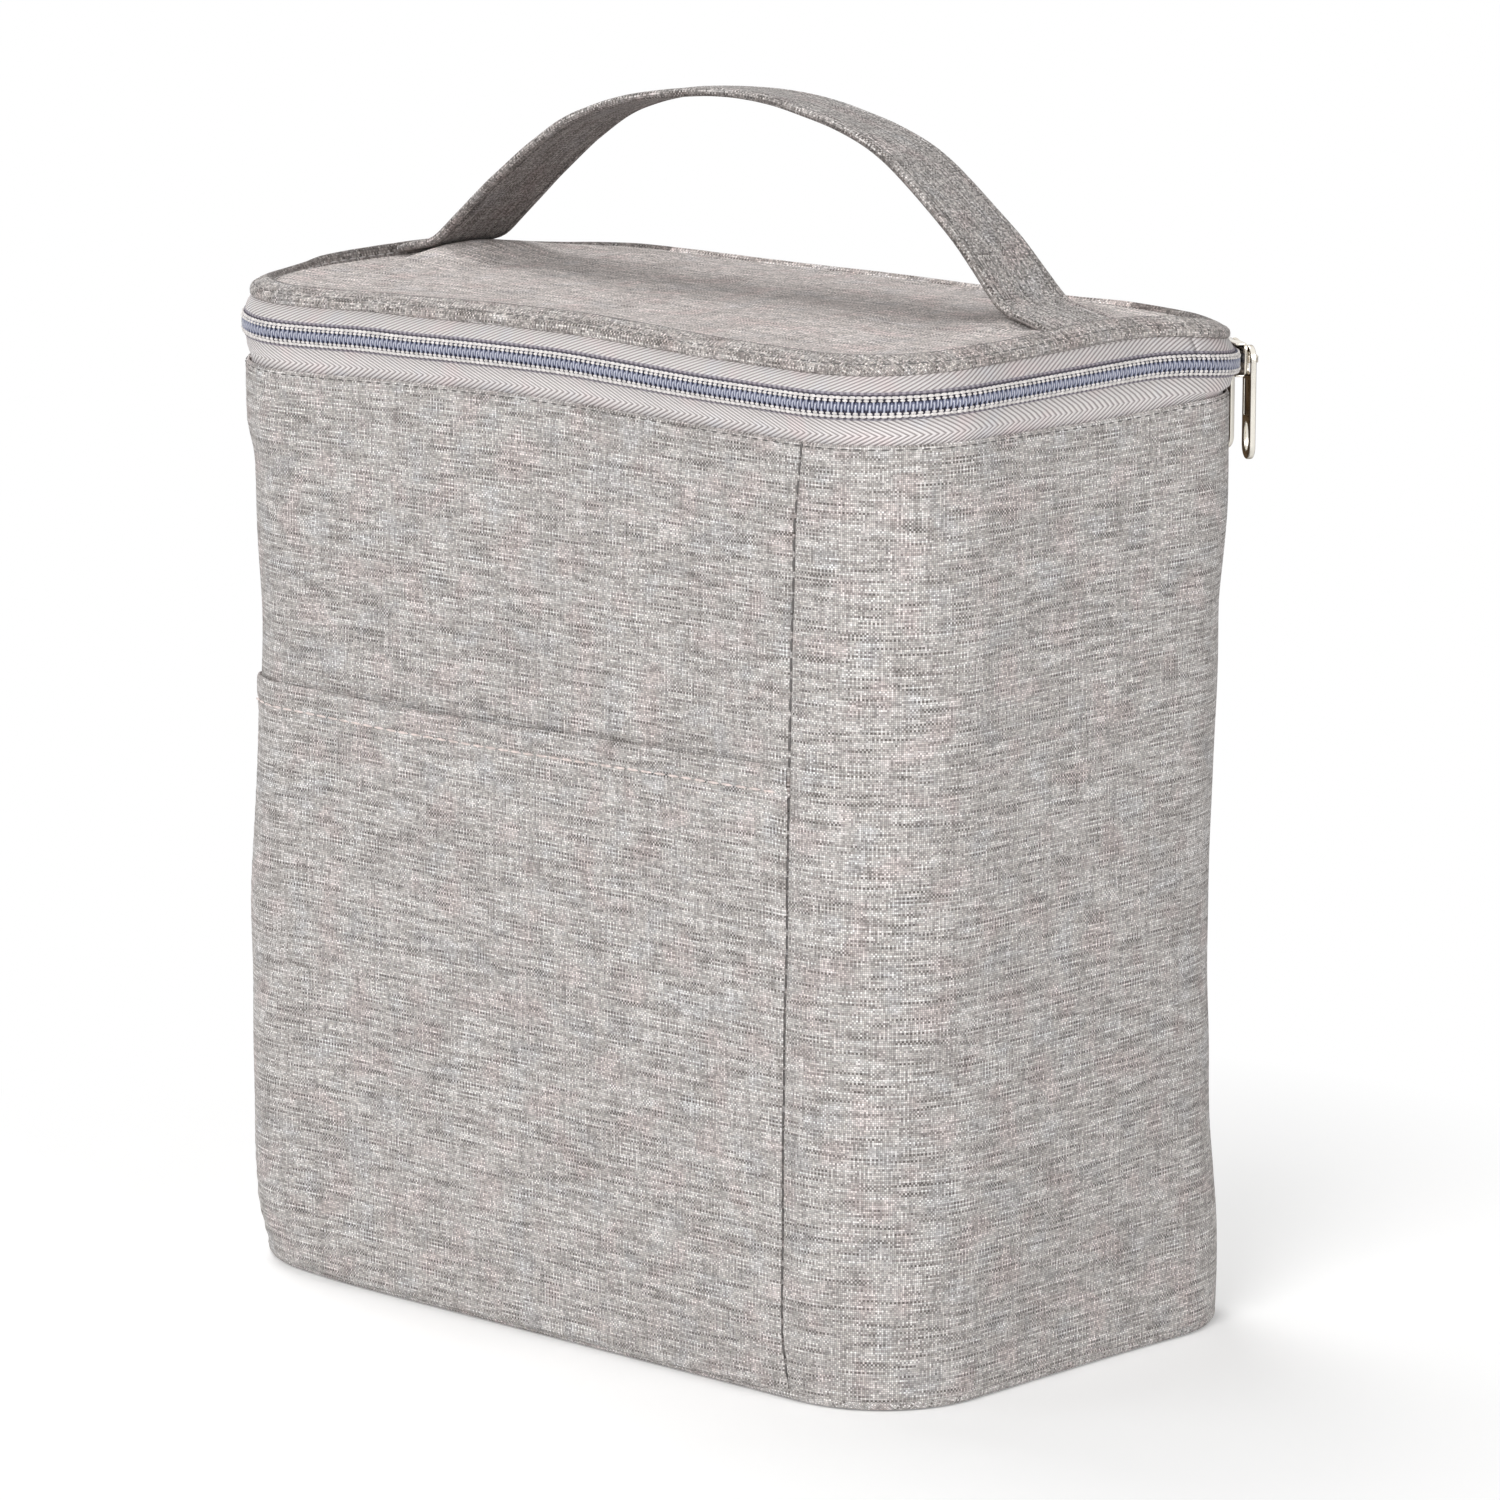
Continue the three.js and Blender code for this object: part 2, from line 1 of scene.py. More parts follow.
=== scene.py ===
# %% [markdown]
# # A zip-top insulated lunch bag, made in Blender
#
# The bag is a soft box. Its wall is two cloth panels that meet in two upright seams. A zip runs round
# the top, and a padded lid folds back on a strip of cloth. A flat strap arches over the lid.
#
# The CAD model already fixes where everything is. This script only makes the pieces look real, so it
# starts by loading that model. Every length here is in metres.

# %% Load the CAD frame
import math

import bmesh
import bpy
import numpy as np
from mathutils import Matrix, Vector


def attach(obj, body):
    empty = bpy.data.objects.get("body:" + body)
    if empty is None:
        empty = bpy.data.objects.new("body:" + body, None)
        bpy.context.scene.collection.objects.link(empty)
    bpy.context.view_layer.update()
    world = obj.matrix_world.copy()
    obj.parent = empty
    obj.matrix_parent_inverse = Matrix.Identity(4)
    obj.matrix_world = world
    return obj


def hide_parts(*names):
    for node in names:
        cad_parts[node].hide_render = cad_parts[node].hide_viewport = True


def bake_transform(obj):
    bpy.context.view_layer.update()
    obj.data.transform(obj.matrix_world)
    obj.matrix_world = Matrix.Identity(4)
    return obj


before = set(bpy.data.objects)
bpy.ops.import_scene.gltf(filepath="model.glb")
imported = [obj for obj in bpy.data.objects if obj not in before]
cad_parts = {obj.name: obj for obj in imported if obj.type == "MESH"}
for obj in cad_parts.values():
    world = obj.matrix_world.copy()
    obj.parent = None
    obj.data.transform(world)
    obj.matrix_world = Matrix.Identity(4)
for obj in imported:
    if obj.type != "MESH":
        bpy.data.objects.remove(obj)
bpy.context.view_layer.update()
scene = bpy.context.scene
MM = 0.001

# %% [markdown]
# The camera comes first, because it decides what needs the most care. It stands 1.75 m away, 42.65
# degrees round from the front and 11 degrees up, with a long lens. A long lens keeps the upright
# edges nearly parallel.

# %% Place the camera
ROUND_FROM_FRONT = math.radians(42.65)
ABOVE = math.radians(11.11)
CAMERA_ROLL = math.radians(0.13)
CAMERA_PLACE = (1.15149, -1.24241, 0.46237)
LENS = 175.63

towards_camera = Vector((
    math.sin(ROUND_FROM_FRONT) * math.cos(ABOVE),
    -math.cos(ROUND_FROM_FRONT) * math.cos(ABOVE),
    math.sin(ABOVE),
))
level = (-towards_camera).cross(Vector((0, 0, 1))).normalized()
upright = level.cross(-towards_camera)
camera_right = math.cos(CAMERA_ROLL) * level + math.sin(CAMERA_ROLL) * upright
camera_up = math.cos(CAMERA_ROLL) * upright - math.sin(CAMERA_ROLL) * level
camera_data = bpy.data.cameras.new("camera")
camera_data.sensor_width = 36
camera_data.lens = LENS
camera_data.clip_end = 20
camera = bpy.data.objects.new("camera", camera_data)
camera.matrix_world = Matrix.Translation(CAMERA_PLACE) @ Matrix(
    (camera_right, camera_up, towards_camera)
).transposed().to_4x4()
scene.collection.objects.link(camera)
scene.camera = camera
print("camera lens:", camera_data.lens, "mm")

# %% [markdown]
# Soft, even light suits cloth. Four big area lamps stand round the bag, and a plain white world
# fills the shadows. The strongest is at the front right, and the right side gets a little less. The
# world shows as pure white to the camera, so the background is clean. That costs the object no extra
# light, because Light Path splits the two.

# %% Light the studio
LAMP_SIZE = 1.5
LAMP_TARGET = Vector((0, 0, 0.12))
# Each lamp's place and its power in watts.
LAMPS = {
    "front_left_lamp": ((-1.6, -2.0, 1.3), 7.5),
    "front_right_lamp": ((0.9, -2.4, 1.5), 47.0),
    "right_lamp": ((2.4, -0.2, 1.2), 21.0),
    "top_left_lamp": ((-1.4, 0.4, 2.3), 30.0),
}
for lamp_name, (stand, power) in LAMPS.items():
    lamp_data = bpy.data.lights.new(lamp_name, "AREA")
    lamp_data.shape = "DISK"
    lamp_data.size = LAMP_SIZE
    lamp_data.energy = power
    lamp = bpy.data.objects.new(lamp_name, lamp_data)
    lamp.location = stand
    lamp.rotation_euler = (LAMP_TARGET - Vector(stand)).to_track_quat("-Z", "Y").to_euler()
    scene.collection.objects.link(lamp)


def set_inputs(tree, node, inputs):
    """Set a node's inputs to values, or link them to other nodes' outputs."""
    for key, value in inputs.items():
        if isinstance(value, bpy.types.NodeSocket):
            tree.links.new(value, node.inputs[key])
        else:
            node.inputs[key].default_value = value


def add_node(tree, kind, inputs=None, **settings):
    """Add one node, set its properties, then its inputs."""
    node = tree.nodes.new("ShaderNode" + kind)
    for key, value in settings.items():
        setattr(node, key, value)
    set_inputs(tree, node, inputs or {})
    return node


ROOM_LIGHT = 0.16
WHITE = (1, 1, 1, 1)
world = bpy.data.worlds.new("white_studio")
scene.world = world
world.use_nodes = True
tree = world.node_tree
tree.nodes.clear()
room = add_node(tree, "Background", {"Color": (1.0, 0.995, 0.985, 1), "Strength": ROOM_LIGHT}).outputs[0]
white = add_node(tree, "Background", {"Color": WHITE}).outputs[0]
rays = add_node(tree, "LightPath").outputs
seen = add_node(tree, "Math", {0: rays["Is Camera Ray"], 1: rays["Is Glossy Ray"]}, operation="MAXIMUM")
choose = add_node(tree, "MixShader", {0: seen.outputs[0], 1: room, 2: white})
add_node(tree, "OutputWorld", {"Surface": choose.outputs[0]})
scene.view_settings.view_transform = "Standard"
print("lamps:", ", ".join(LAMPS))

# %% [markdown]
# The floor is a plain pale sheet. It is nearly white under this light, and it keeps the soft contact
# shadow that tells the eye the bag stands on something. Far away it fades to pure white, so it meets
# the background without a line.

# %% Lay the floor
FLOOR_RADIUS = 6
bpy.ops.object.select_all(action="DESELECT")
bpy.ops.mesh.primitive_circle_add(
    vertices=96, radius=FLOOR_RADIUS, fill_type="NGON", location=(0, 0, -0.0002),
)
floor = bpy.context.object
floor.name = "floor"


def new_material(name):
    """A material with nothing but a Principled shader, given back with its tree and that shader."""
    material = bpy.data.materials.new(name)
    material.use_nodes = True
    tree = material.node_tree
    tree.nodes.clear()
    shader = tree.nodes.new("ShaderNodeBsdfPrincipled")
    out = tree.nodes.new("ShaderNodeOutputMaterial")
    tree.links.new(shader.outputs["BSDF"], out.inputs["Surface"])
    return material, tree, shader


def maths(tree, operation, a, b=0.0, c=0.0, clamp=False):
    """One Math node; a, b and c are numbers or other nodes' outputs."""
    return add_node(tree, "Math", {0: a, 1: b, 2: c}, operation=operation, use_clamp=clamp).outputs[0]


def colour_ramp(tree, value, stops):
    """A Color Ramp through (place, colour) stops."""
    ramp = add_node(tree, "ValToRGB", {"Fac": value})
    while len(ramp.color_ramp.elements) < len(stops):
        ramp.color_ramp.elements.new(0.5)
    for element, (place, colour) in zip(ramp.color_ramp.elements, stops):
        element.position = place
        element.color = (*colour, 1)
    return ramp.outputs["Color"]


def mix_colours(tree, amount, a, b, blend="MIX"):
    """A Mix node for colours; amount, a and b are values or outputs."""
    a = (*a, 1) if isinstance(a, tuple) else a
    b = (*b, 1) if isinstance(b, tuple) else b
    node = add_node(tree, "Mix", {0: amount, 6: a, 7: b}, data_type="RGBA", blend_type=blend)
    return node.outputs[2]


def vector_maths(tree, operation, a, b=(0, 0, 0), output="Vector"):
    """One Vector Math node; output is "Value" where the answer is a number."""
    return add_node(tree, "VectorMath", {0: a, 1: b}, operation=operation).outputs[output]


def noise(tree, spot, scale, detail, dimensions="3D"):
    """A soft random value that changes from place to place."""
    texture = {"Vector": spot, "Scale": scale, "Detail": detail}
    return add_node(tree, "TexNoise", texture, noise_dimensions=dimensions).outputs["Fac"]


def remap(tree, value, low, high):
    """0 at low, 1 at high, and straight between."""
    return add_node(tree, "MapRange", {"Value": value, "From Min": low, "From Max": high}).outputs["Result"]


floor_material, tree, shader = new_material("pale_floor")
spot = add_node(tree, "TexCoord").outputs["Object"]
fade = remap(tree, vector_maths(tree, "LENGTH", spot, output="Value"), 0.13, 0.27)
paper = noise(tree, spot, 9.0, 2.0)
set_inputs(tree, shader, {
    "Base Color": colour_ramp(tree, paper, [(0.3, (0.95, 0.95, 0.948)), (0.7, (0.98, 0.98, 0.978))]),
    "Roughness": 0.9,
    "Specular IOR Level": 0.1,
})
to_camera = add_node(tree, "LightPath").outputs["Is Camera Ray"]
glow = add_node(tree, "Emission", {"Color": WHITE, "Strength": 1.0}).outputs[0]
lift = add_node(tree, "Emission", {"Color": WHITE, "Strength": maths(tree, "MULTIPLY", to_camera, 0.2)})
lit = add_node(tree, "AddShader", {0: shader.outputs["BSDF"], 1: lift.outputs[0]}).outputs[0]
faded = add_node(tree, "MixShader", {0: maths(tree, "MULTIPLY", to_camera, fade), 1: lit, 2: glow})
tree.links.new(faded.outputs[0], tree.nodes["Material Output"].inputs["Surface"])
floor.data.materials.append(floor_material)
print("floor radius:", FLOOR_RADIUS, "m")

# %% [markdown]
# ## The outline that everything follows
#
# Seen from above, the bag is a rectangle with round corners. Every wall, tape and binding follows
# that line, so one helper turns "so far along the line" into a place and an outward direction. Being
# able to say "40 mm along, 1 mm out, 220 mm up" keeps all the layers side by side.

# %% Walk along the outline
WIDTH, DEPTH, CORNER = 0.220, 0.130, 0.028
FRONT_HALF = WIDTH / 2 - CORNER
SIDE_HALF = DEPTH / 2 - CORNER
TURN = CORNER * math.pi / 2
LEGS = [
    ("straight", (0, -DEPTH / 2), 0, FRONT_HALF),
    ("turn", (FRONT_HALF, -SIDE_HALF), -90, TURN),
    ("straight", (WIDTH / 2, -SIDE_HALF), 90, 2 * SIDE_HALF),
    ("turn", (FRONT_HALF, SIDE_HALF), 0, TURN),
    ("straight", (FRONT_HALF, DEPTH / 2), 180, 2 * FRONT_HALF),
    ("turn", (-FRONT_HALF, SIDE_HALF), 90, TURN),
    ("straight", (-WIDTH / 2, SIDE_HALF), -90, 2 * SIDE_HALF),
    ("turn", (-FRONT_HALF, -SIDE_HALF), 180, TURN),
    ("straight", (-FRONT_HALF, -DEPTH / 2), 0, FRONT_HALF),
]
AROUND = sum(leg[3] for leg in LEGS)
RIGHT_REAR = FRONT_HALF + TURN + 2 * SIDE_HALF
BACK_MIDDLE = AROUND / 2


def outline(s, out=0.0):
    """Place (x, y) that lies s along the outline from the middle of the front, and out outside it."""
    s = np.mod(np.asarray(s, float), AROUND)
    out = np.broadcast_to(np.asarray(out, float), s.shape)
    x, y, start = np.zeros_like(s), np.zeros_like(s), 0.0
    for kind, (cx, cy), angle, length in LEGS:
        here = (s >= start - 1e-12) & (s <= start + length + 1e-12)
        gone, turned = s[here] - start, math.radians(angle)
        if kind == "straight":
            x[here] = cx + math.cos(turned) * gone + math.sin(turned) * out[here]
            y[here] = cy + math.sin(turned) * gone - math.cos(turned) * out[here]
        else:
            round_ = turned + gone / CORNER
            x[here] = cx + np.cos(round_) * (CORNER + out[here])
            y[here] = cy + np.sin(round_) * (CORNER + out[here])
        start += length
    return x, y


def stations(start, end, straight=0.003, tight=0.0018):
    """Places along the outline from start to end, closer together round the corners."""
    places, s = [start], start
    while s < end - 1e-9:
        at = (s % AROUND)
        begun = 0.0
        for kind, _, _, length in LEGS:
            if at < begun + length - 1e-9:
                step = min(straight if kind == "straight" else tight, begun + length - at)
                break
            begun += length
        s = min(end, s + max(step, 1e-4))
        places.append(s)
    return np.array(places)


print(f"outline: {AROUND * 1000:.1f} mm round")

# %% [markdown]
# Cloth is never dead flat. A small bulge is added to every layer at the same place, so the layers
# stay apart. It is a sum of broad swellings and of small waves with fixed, seeded directions.
#
# The zip rises and falls along its way, and so does the top edge of the wall under it. Both follow a
# few listed heights. At the rear right corner the two sliders push the zip out and down.

# %% Give the soft walls their swell
rng = np.random.default_rng(7)
WAVES = [
    (2 * math.pi / rng.uniform(0.022, 0.07), rng.uniform(0, math.pi), rng.uniform(0, 2 * math.pi))
    for _ in range(22)
]


def smooth_step(value, start, end):
    t = np.clip((np.asarray(value, float) - start) / (end - start), 0, 1)
    return t * t * (3 - 2 * t)


def hump(value, middle, width):
    return np.exp(-(((np.asarray(value, float) - middle) / width) ** 2))


def near(s, middle):
    """Signed distance along the outline from middle to s, the short way round."""
    return (np.asarray(s, float) - middle + AROUND / 2) % AROUND - AROUND / 2


def close_to(s, middle, width):
    """1 at middle on the outline, falling off to 0 over the width either side."""
    return hump(near(s, middle), 0, width)


def small_waves(u, v):
    total = 0
    for wave, direction, phase in WAVES:
        total = total + np.sin(wave * (u * math.cos(direction) + v * math.sin(direction)) + phase)
    return total / len(WAVES)


# Middles of the front left corner and of the rear right one, along the outline.
LEFT_CORNER, REAR_CORNER = -0.104, 0.221
# Each swelling: how far out, its middle and width along the outline, its middle and height up the wall.
SWELLINGS = [
    (0.0010, 0.0, 0.055, 0.09, 0.075),
    (0.0010, LEFT_CORNER, 0.03, 0.092, 0.025),
    (0.0009, LEFT_CORNER, 0.03, 0.040, 0.036),
    (-0.0019, LEFT_CORNER, 0.028, 0.146, 0.037),
    (-0.0018, REAR_CORNER, 0.04, 0.095, 0.045),
    (0.0010, REAR_CORNER, 0.03, 0.025, 0.020),
    (0.0006, 0.163, 0.03, 0.06, 0.04),
    (0.0009, BACK_MIDDLE, 0.07, 0.10, 0.07),
]


def foot_tuck(s):
    """The foot is drawn in round the front left corner and stands out at the rear right one."""
    return -0.0024 * close_to(s, -0.094, 0.021) + 0.0016 * close_to(s, REAR_CORNER, 0.03)


def swell(s, z):
    """How far the wall stands proud of the straight outline at this place."""
    held = smooth_step(z, 0.0, 0.03) * (1 - smooth_step(z, 0.19, 0.216))
    out = 0.0011 * small_waves(np.mod(s, AROUND), z * 0.8)
    for size, middle, width, height, tall in SWELLINGS:
        out = out + size * close_to(s, middle, width) * hump(z, height, tall)
    tuck = foot_tuck(s)
    foot = tuck * (1 - np.where(tuck > 0, smooth_step(z, 0.008, 0.034), smooth_step(z, 0.001, 0.016)))
    shoulder = 0.0017 * close_to(s, REAR_CORNER, 0.032)
    shoulder = shoulder * smooth_step(z, 0.168, 0.196) * (1 - smooth_step(z, 0.219, 0.224))
    left_mouth = 0.0014 * close_to(s, LEFT_CORNER, 0.03) * smooth_step(z, 0.195, 0.206)
    left_mouth = left_mouth * (1 - 0.85 * hump(z, 0.2284, 0.0035))
    return held * out + foot + shoulder + left_mouth


def by_sliders(s):
    """1 round the rear right corner, where the two sliders push the zip out and down; else 0."""
    far = near(s, 0.228)
    return smooth_step(far, -0.046, -0.024) * (1 - smooth_step(far, 0.022, 0.044))


ZIP_FLARE = 0.0021
ZIP_HEIGHTS = [
    (-104, -0.3), (-85, -0.9), (-70, -0.5), (-52, 0.3), (-42, 0.2), (-30, 0.6), (-10, 1.0), (10, 1.2),
    (30, 0.5), (50, -0.25), (70, -0.5), (85, -0.65), (100, -0.45), (110, -0.1), (122, 0.4), (143, 0.65),
    (154, 0.85), (165, 1.0), (177, 1.25), (190, 1.1), (200, 0.4), (208, -0.8), (214, -1.4), (222, -1.8),
    (245, -1.8), (270, 0), (520, 0), (548, -0.3),
]
WALL_TOP_HEIGHTS = [
    (-104, -0.6), (-85, -1.2), (-70, -0.95), (-52, -0.2), (-30, 0.4), (-10, 0.8), (10, 0.7), (30, 0.15),
    (50, -0.35), (70, -0.8), (85, -0.9), (100, -0.7), (122, -0.5), (143, -0.6), (164, -0.85), (177, -0.7),
    (195, 0), (210, 0.3), (245, 0.3), (270, 0), (520, 0), (548, -0.6),
]


def zip_flare(s):
    """How far out the sliders push the zip."""
    return ZIP_FLARE * by_sliders(s) + 0.0005 * close_to(s, 0.2435, 0.0065)


def along_heights(s, heights):
    """A height in metres from (mm along, mm up) points, with the corners of the line rounded off."""
    marks, values = np.array(heights, float).T
    at = np.mod(np.asarray(s, float) - LEFT_CORNER, AROUND) + LEFT_CORNER
    steps = (-0.006, -0.003, 0.0, 0.003, 0.006)
    return sum(np.interp((at + step) * 1000, marks, values) for step in steps) / len(steps) * MM


def zip_lift(s):
    """How far the zip stands above or below its level line."""
    return along_heights(s, ZIP_HEIGHTS)


def place(s, out, z, soft=True):
    """x, y, z of a point on the soft wall; the wall top's and the zip's rise are shared in near the top."""
    s, out, z = np.broadcast_arrays(*(np.asarray(value, float) for value in (s, out, z)))
    flare = zip_flare(s) * smooth_step(z, 0.2192, 0.2232) * (1 + 0.2 * smooth_step(z, 0.2330, 0.2360))
    x, y = outline(s, out + flare + (swell(s, z) if soft else 0))
    zip_share = smooth_step(z, 0.2196, 0.2236)
    wall_share = smooth_step(z, 0.195, 0.2185) * (1 - zip_share)
    rise = zip_lift(s) * zip_share + along_heights(s, WALL_TOP_HEIGHTS) * wall_share
    return np.stack([x, y, z + rise], -1)


largest = float(np.abs(swell(np.linspace(0, AROUND, 400), 0.11)).max())
print("largest swell:", round(largest * 1000, 2), "mm")

# %% [markdown]
# Two helpers make almost every soft piece. `sheet_of` joins a grid of points into one sheet and gives
# it thickness. `band_of` sweeps a closed cross-section along the outline, for tapes and bindings. Both
# write a UV map in metres, so a weave follows the cloth round the corners at its true size.

# %% Make sheets and bands
def mesh_piece(name, points, faces, uvs, materials, face_material=None):
    """A mesh object from points, four-cornered faces and a UV for each face corner."""
    mesh = bpy.data.meshes.new(name)
    mesh.from_pydata([tuple(p) for p in points], [], [tuple(f) for f in faces])
    layer = mesh.uv_layers.new(name="cloth")
    layer.data.foreach_set("uv", np.asarray(uvs, np.float32).ravel())
    for material in materials:
        mesh.materials.append(material)
    if face_material is not None:
        mesh.polygons.foreach_set("material_index", np.asarray(face_material, np.int32))
    mesh.polygons.foreach_set("use_smooth", [True] * len(mesh.polygons))
    piece = bpy.data.objects.new(name, mesh)
    scene.collection.objects.link(piece)
    return piece


def grid_faces(rows, columns, wrap=False):
    """Corner indices of the squares of a grid whose second index runs fastest."""
    last = columns if wrap else columns - 1
    i, k = np.meshgrid(np.arange(rows - 1), np.arange(last), indexing="ij")
    i, k = i.ravel(), k.ravel()
    k_next = (k + 1) % columns
    corners = [(i, k), (i + 1, k), (i + 1, k_next), (i, k_next)]
    return np.stack([row * columns + column for row, column in corners], 1)


def select_only(piece):
    bpy.ops.object.select_all(action="DESELECT")
    piece.select_set(True)
    bpy.context.view_layer.objects.active = piece


def apply_modifier(piece, kind, **settings):
    """Add one modifier, set it and apply it at once."""
    select_only(piece)
    modifier = piece.modifiers.new(kind.lower(), kind)
    for key, value in settings.items():
        setattr(modifier, key, value)
    bpy.ops.object.modifier_apply(modifier=modifier.name)
    return piece


def start_editing(piece, select="SELECT"):
    """Go into edit mode on one piece, with all of it selected or none of it."""
    select_only(piece)
    bpy.ops.object.mode_set(mode="EDIT")
    bpy.ops.mesh.select_all(action=select)


def stop_editing():
    bpy.ops.object.mode_set(mode="OBJECT")


def clean(piece, distance=1e-6, turn_outwards=True):
    """Merge doubled points and turn all faces outwards."""
    start_editing(piece)
    bpy.ops.mesh.remove_doubles(threshold=distance)
    bpy.ops.mesh.dissolve_degenerate(threshold=1e-7)
    if turn_outwards:
        bpy.ops.mesh.normals_make_consistent(inside=False)
    stop_editing()
    return piece


def close_ends(piece, flat):
    """Fill both open ends of a tube; flat leaves them with a sharp rim."""
    start_editing(piece, "DESELECT")
    bpy.ops.mesh.select_non_manifold()
    bpy.ops.mesh.edge_face_add()
    if flat:
        bpy.ops.mesh.faces_shade_flat()
    bpy.ops.mesh.select_all(action="SELECT")
    bpy.ops.mesh.normals_make_consistent(inside=False)
    stop_editing()
    return piece


def thicken(piece, thick):
    """Give a sheet its thickness, inwards, away from the seen side."""
    return apply_modifier(piece, "SOLIDIFY", thickness=thick, offset=-1, use_even_offset=False)


def sheet_of(name, points, u, v, material, thick):
    """A sheet through a grid of points; u and v measure the cloth both ways."""
    faces = grid_faces(*points.shape[:2])
    uvs = np.stack(np.broadcast_arrays(u, v), -1).reshape(-1, 2)[faces.ravel()]
    return thicken(mesh_piece(name, points.reshape(-1, 3), faces, uvs, [material]), thick)


def girth_of(section):
    """How far round a closed cross-section each of its points lies."""
    step = np.linalg.norm(np.diff(np.concatenate([section, section[:1]]), axis=0), axis=1)
    return np.concatenate([[0], np.cumsum(step)])


def tube_of(name, points, u, v, materials, row_material):
    """A tube through rings of points; row_material gives each row of its faces a material number."""
    count = points.shape[1]
    faces = grid_faces(len(points), count, wrap=True)
    i, k = faces[:, 0] // count, faces[:, 0] % count
    corners = [(i, k), (i + 1, k), (i + 1, k + 1), (i, k + 1)]
    uvs = np.stack([np.stack([u[a], v[b]], 1) for a, b in corners], 1).reshape(-1, 2)
    return mesh_piece(name, points.reshape(-1, 3), faces, uvs, materials, np.asarray(row_material)[k])


def band_of(name, s, section, materials, ring=False, row_material=None, v_start=0.0, soft=True):
    """A closed cross-section [(out, z), ...] swept along the outline. section may be a list or
    a function of s. It starts at the bottom of the outer face and goes up."""
    s = np.asarray(s, float)
    shapes = np.array([section(value) if callable(section) else section for value in s], float)
    points = place(s[:, None], shapes[..., 0], shapes[..., 1], soft)
    rows = np.zeros(shapes.shape[1], int) if row_material is None else row_material
    piece = tube_of(name, points, s, v_start + girth_of(shapes[0]), materials, rows)
    return clean(piece) if ring else close_ends(piece, flat=True)


def wear(piece, body, node=None):
    """Say what a piece rides on and what it stands for."""
    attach(piece, body)
    if node:
        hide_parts(node)
    return piece


def faces_in(piece):
    return sum(len(polygon.vertices) - 2 for polygon in piece.data.polygons)


print("helpers for sheets, tubes and bands are ready")


# %% [markdown]
# Some shapes are repeated hundreds of times: a stitch, a tooth of the zip. Each is modelled once, and
# `lay_copies` sets copies of its mesh at a list of places and joins them into one piece.

# %% Copy one small shape many times
def lay_copies(name, pattern, places, materials):
    """One piece made of copies of pattern's mesh, each moved by one of the matrices in places."""
    shape = np.array([v.co for v in pattern.data.vertices])
    faces = [list(p.vertices) for p in pattern.data.polygons]
    corners = len(shape)
    points, all_faces = [], []
    for number, matrix in enumerate(places):
        turn = np.array(matrix.to_3x3())
        points.append(shape @ turn.T + np.array(matrix.translation))
        all_faces.extend([[corner + number * corners for corner in face] for face in faces])
    mesh = bpy.data.meshes.new(name)
    mesh.from_pydata([tuple(p) for p in np.concatenate(points)], [], all_faces)
    for material in materials:
        mesh.materials.append(material)
    mesh.polygons.foreach_set("use_smooth", [True] * len(mesh.polygons))
    piece = bpy.data.objects.new(name, mesh)
    scene.collection.objects.link(piece)
    return piece


def frames_along(points, outward):
    """A matrix at each point: X along the row, Z out of the cloth, Y across."""
    points, outward = np.asarray(points, float), np.asarray(outward, float)
    along = np.gradient(points, axis=0)
    frames = []
    for point, x_axis, z_axis in zip(points, along, outward):
        x_axis = Vector(x_axis).normalized()
        y_axis = Vector(z_axis).cross(x_axis).normalized()
        turn = Matrix((x_axis, y_axis, x_axis.cross(y_axis))).transposed().to_4x4()
        frames.append(Matrix.Translation(point) @ turn)
    return frames


def bead(name, length, width, height):
    """A small long bead, made from a sphere: one stitch, or one loop of thread."""
    bpy.ops.object.select_all(action="DESELECT")
    bpy.ops.mesh.primitive_uv_sphere_add(segments=8, ring_count=6, radius=0.5)
    piece = bpy.context.object
    piece.name = name
    start_editing(piece)
    bpy.ops.transform.rotate(value=math.pi / 2, orient_axis="Y", center_override=(0, 0, 0))
    bpy.ops.transform.resize(value=(length, width, height), center_override=(0, 0, 0))
    stop_editing()
    return piece


def throw_away(*pieces):
    for piece in pieces:
        bpy.data.objects.remove(piece, do_unlink=True)


def sew(name, size, frames, thread):
    """A row of stitches, each of this length, width and height, at the frames."""
    stitch = bead("stitch", *size)
    stitches = lay_copies(name, stitch, frames, [thread])
    throw_away(stitch)
    return stitches


print("helpers for stitches are ready")

# %% [markdown]
# ## Finishes
#
# The outside is a grey melange cloth: a plain weave of polyester threads, each dyed unevenly, so
# every thread is a long streak of light and dark. Weave is needed by several finishes, so it is a
# node group. It counts threads both ways, says which of the two is on top, and gives every thread its
# own changing tone.

# %% Build the plain weave group
def new_group(name, inputs, outputs):
    """An empty node group; its sockets are (name, type) pairs."""
    tree = bpy.data.node_groups.new(name, "ShaderNodeTree")
    for socket, kind in inputs:
        tree.interface.new_socket(socket, in_out="INPUT", socket_type="NodeSocket" + kind)
    for socket, kind in outputs:
        tree.interface.new_socket(socket, in_out="OUTPUT", socket_type="NodeSocket" + kind)
    return tree, tree.nodes.new("NodeGroupInput").outputs, tree.nodes.new("NodeGroupOutput").inputs


def use_group(tree, group, inputs):
    return add_node(tree, "Group", inputs, node_tree=group).outputs


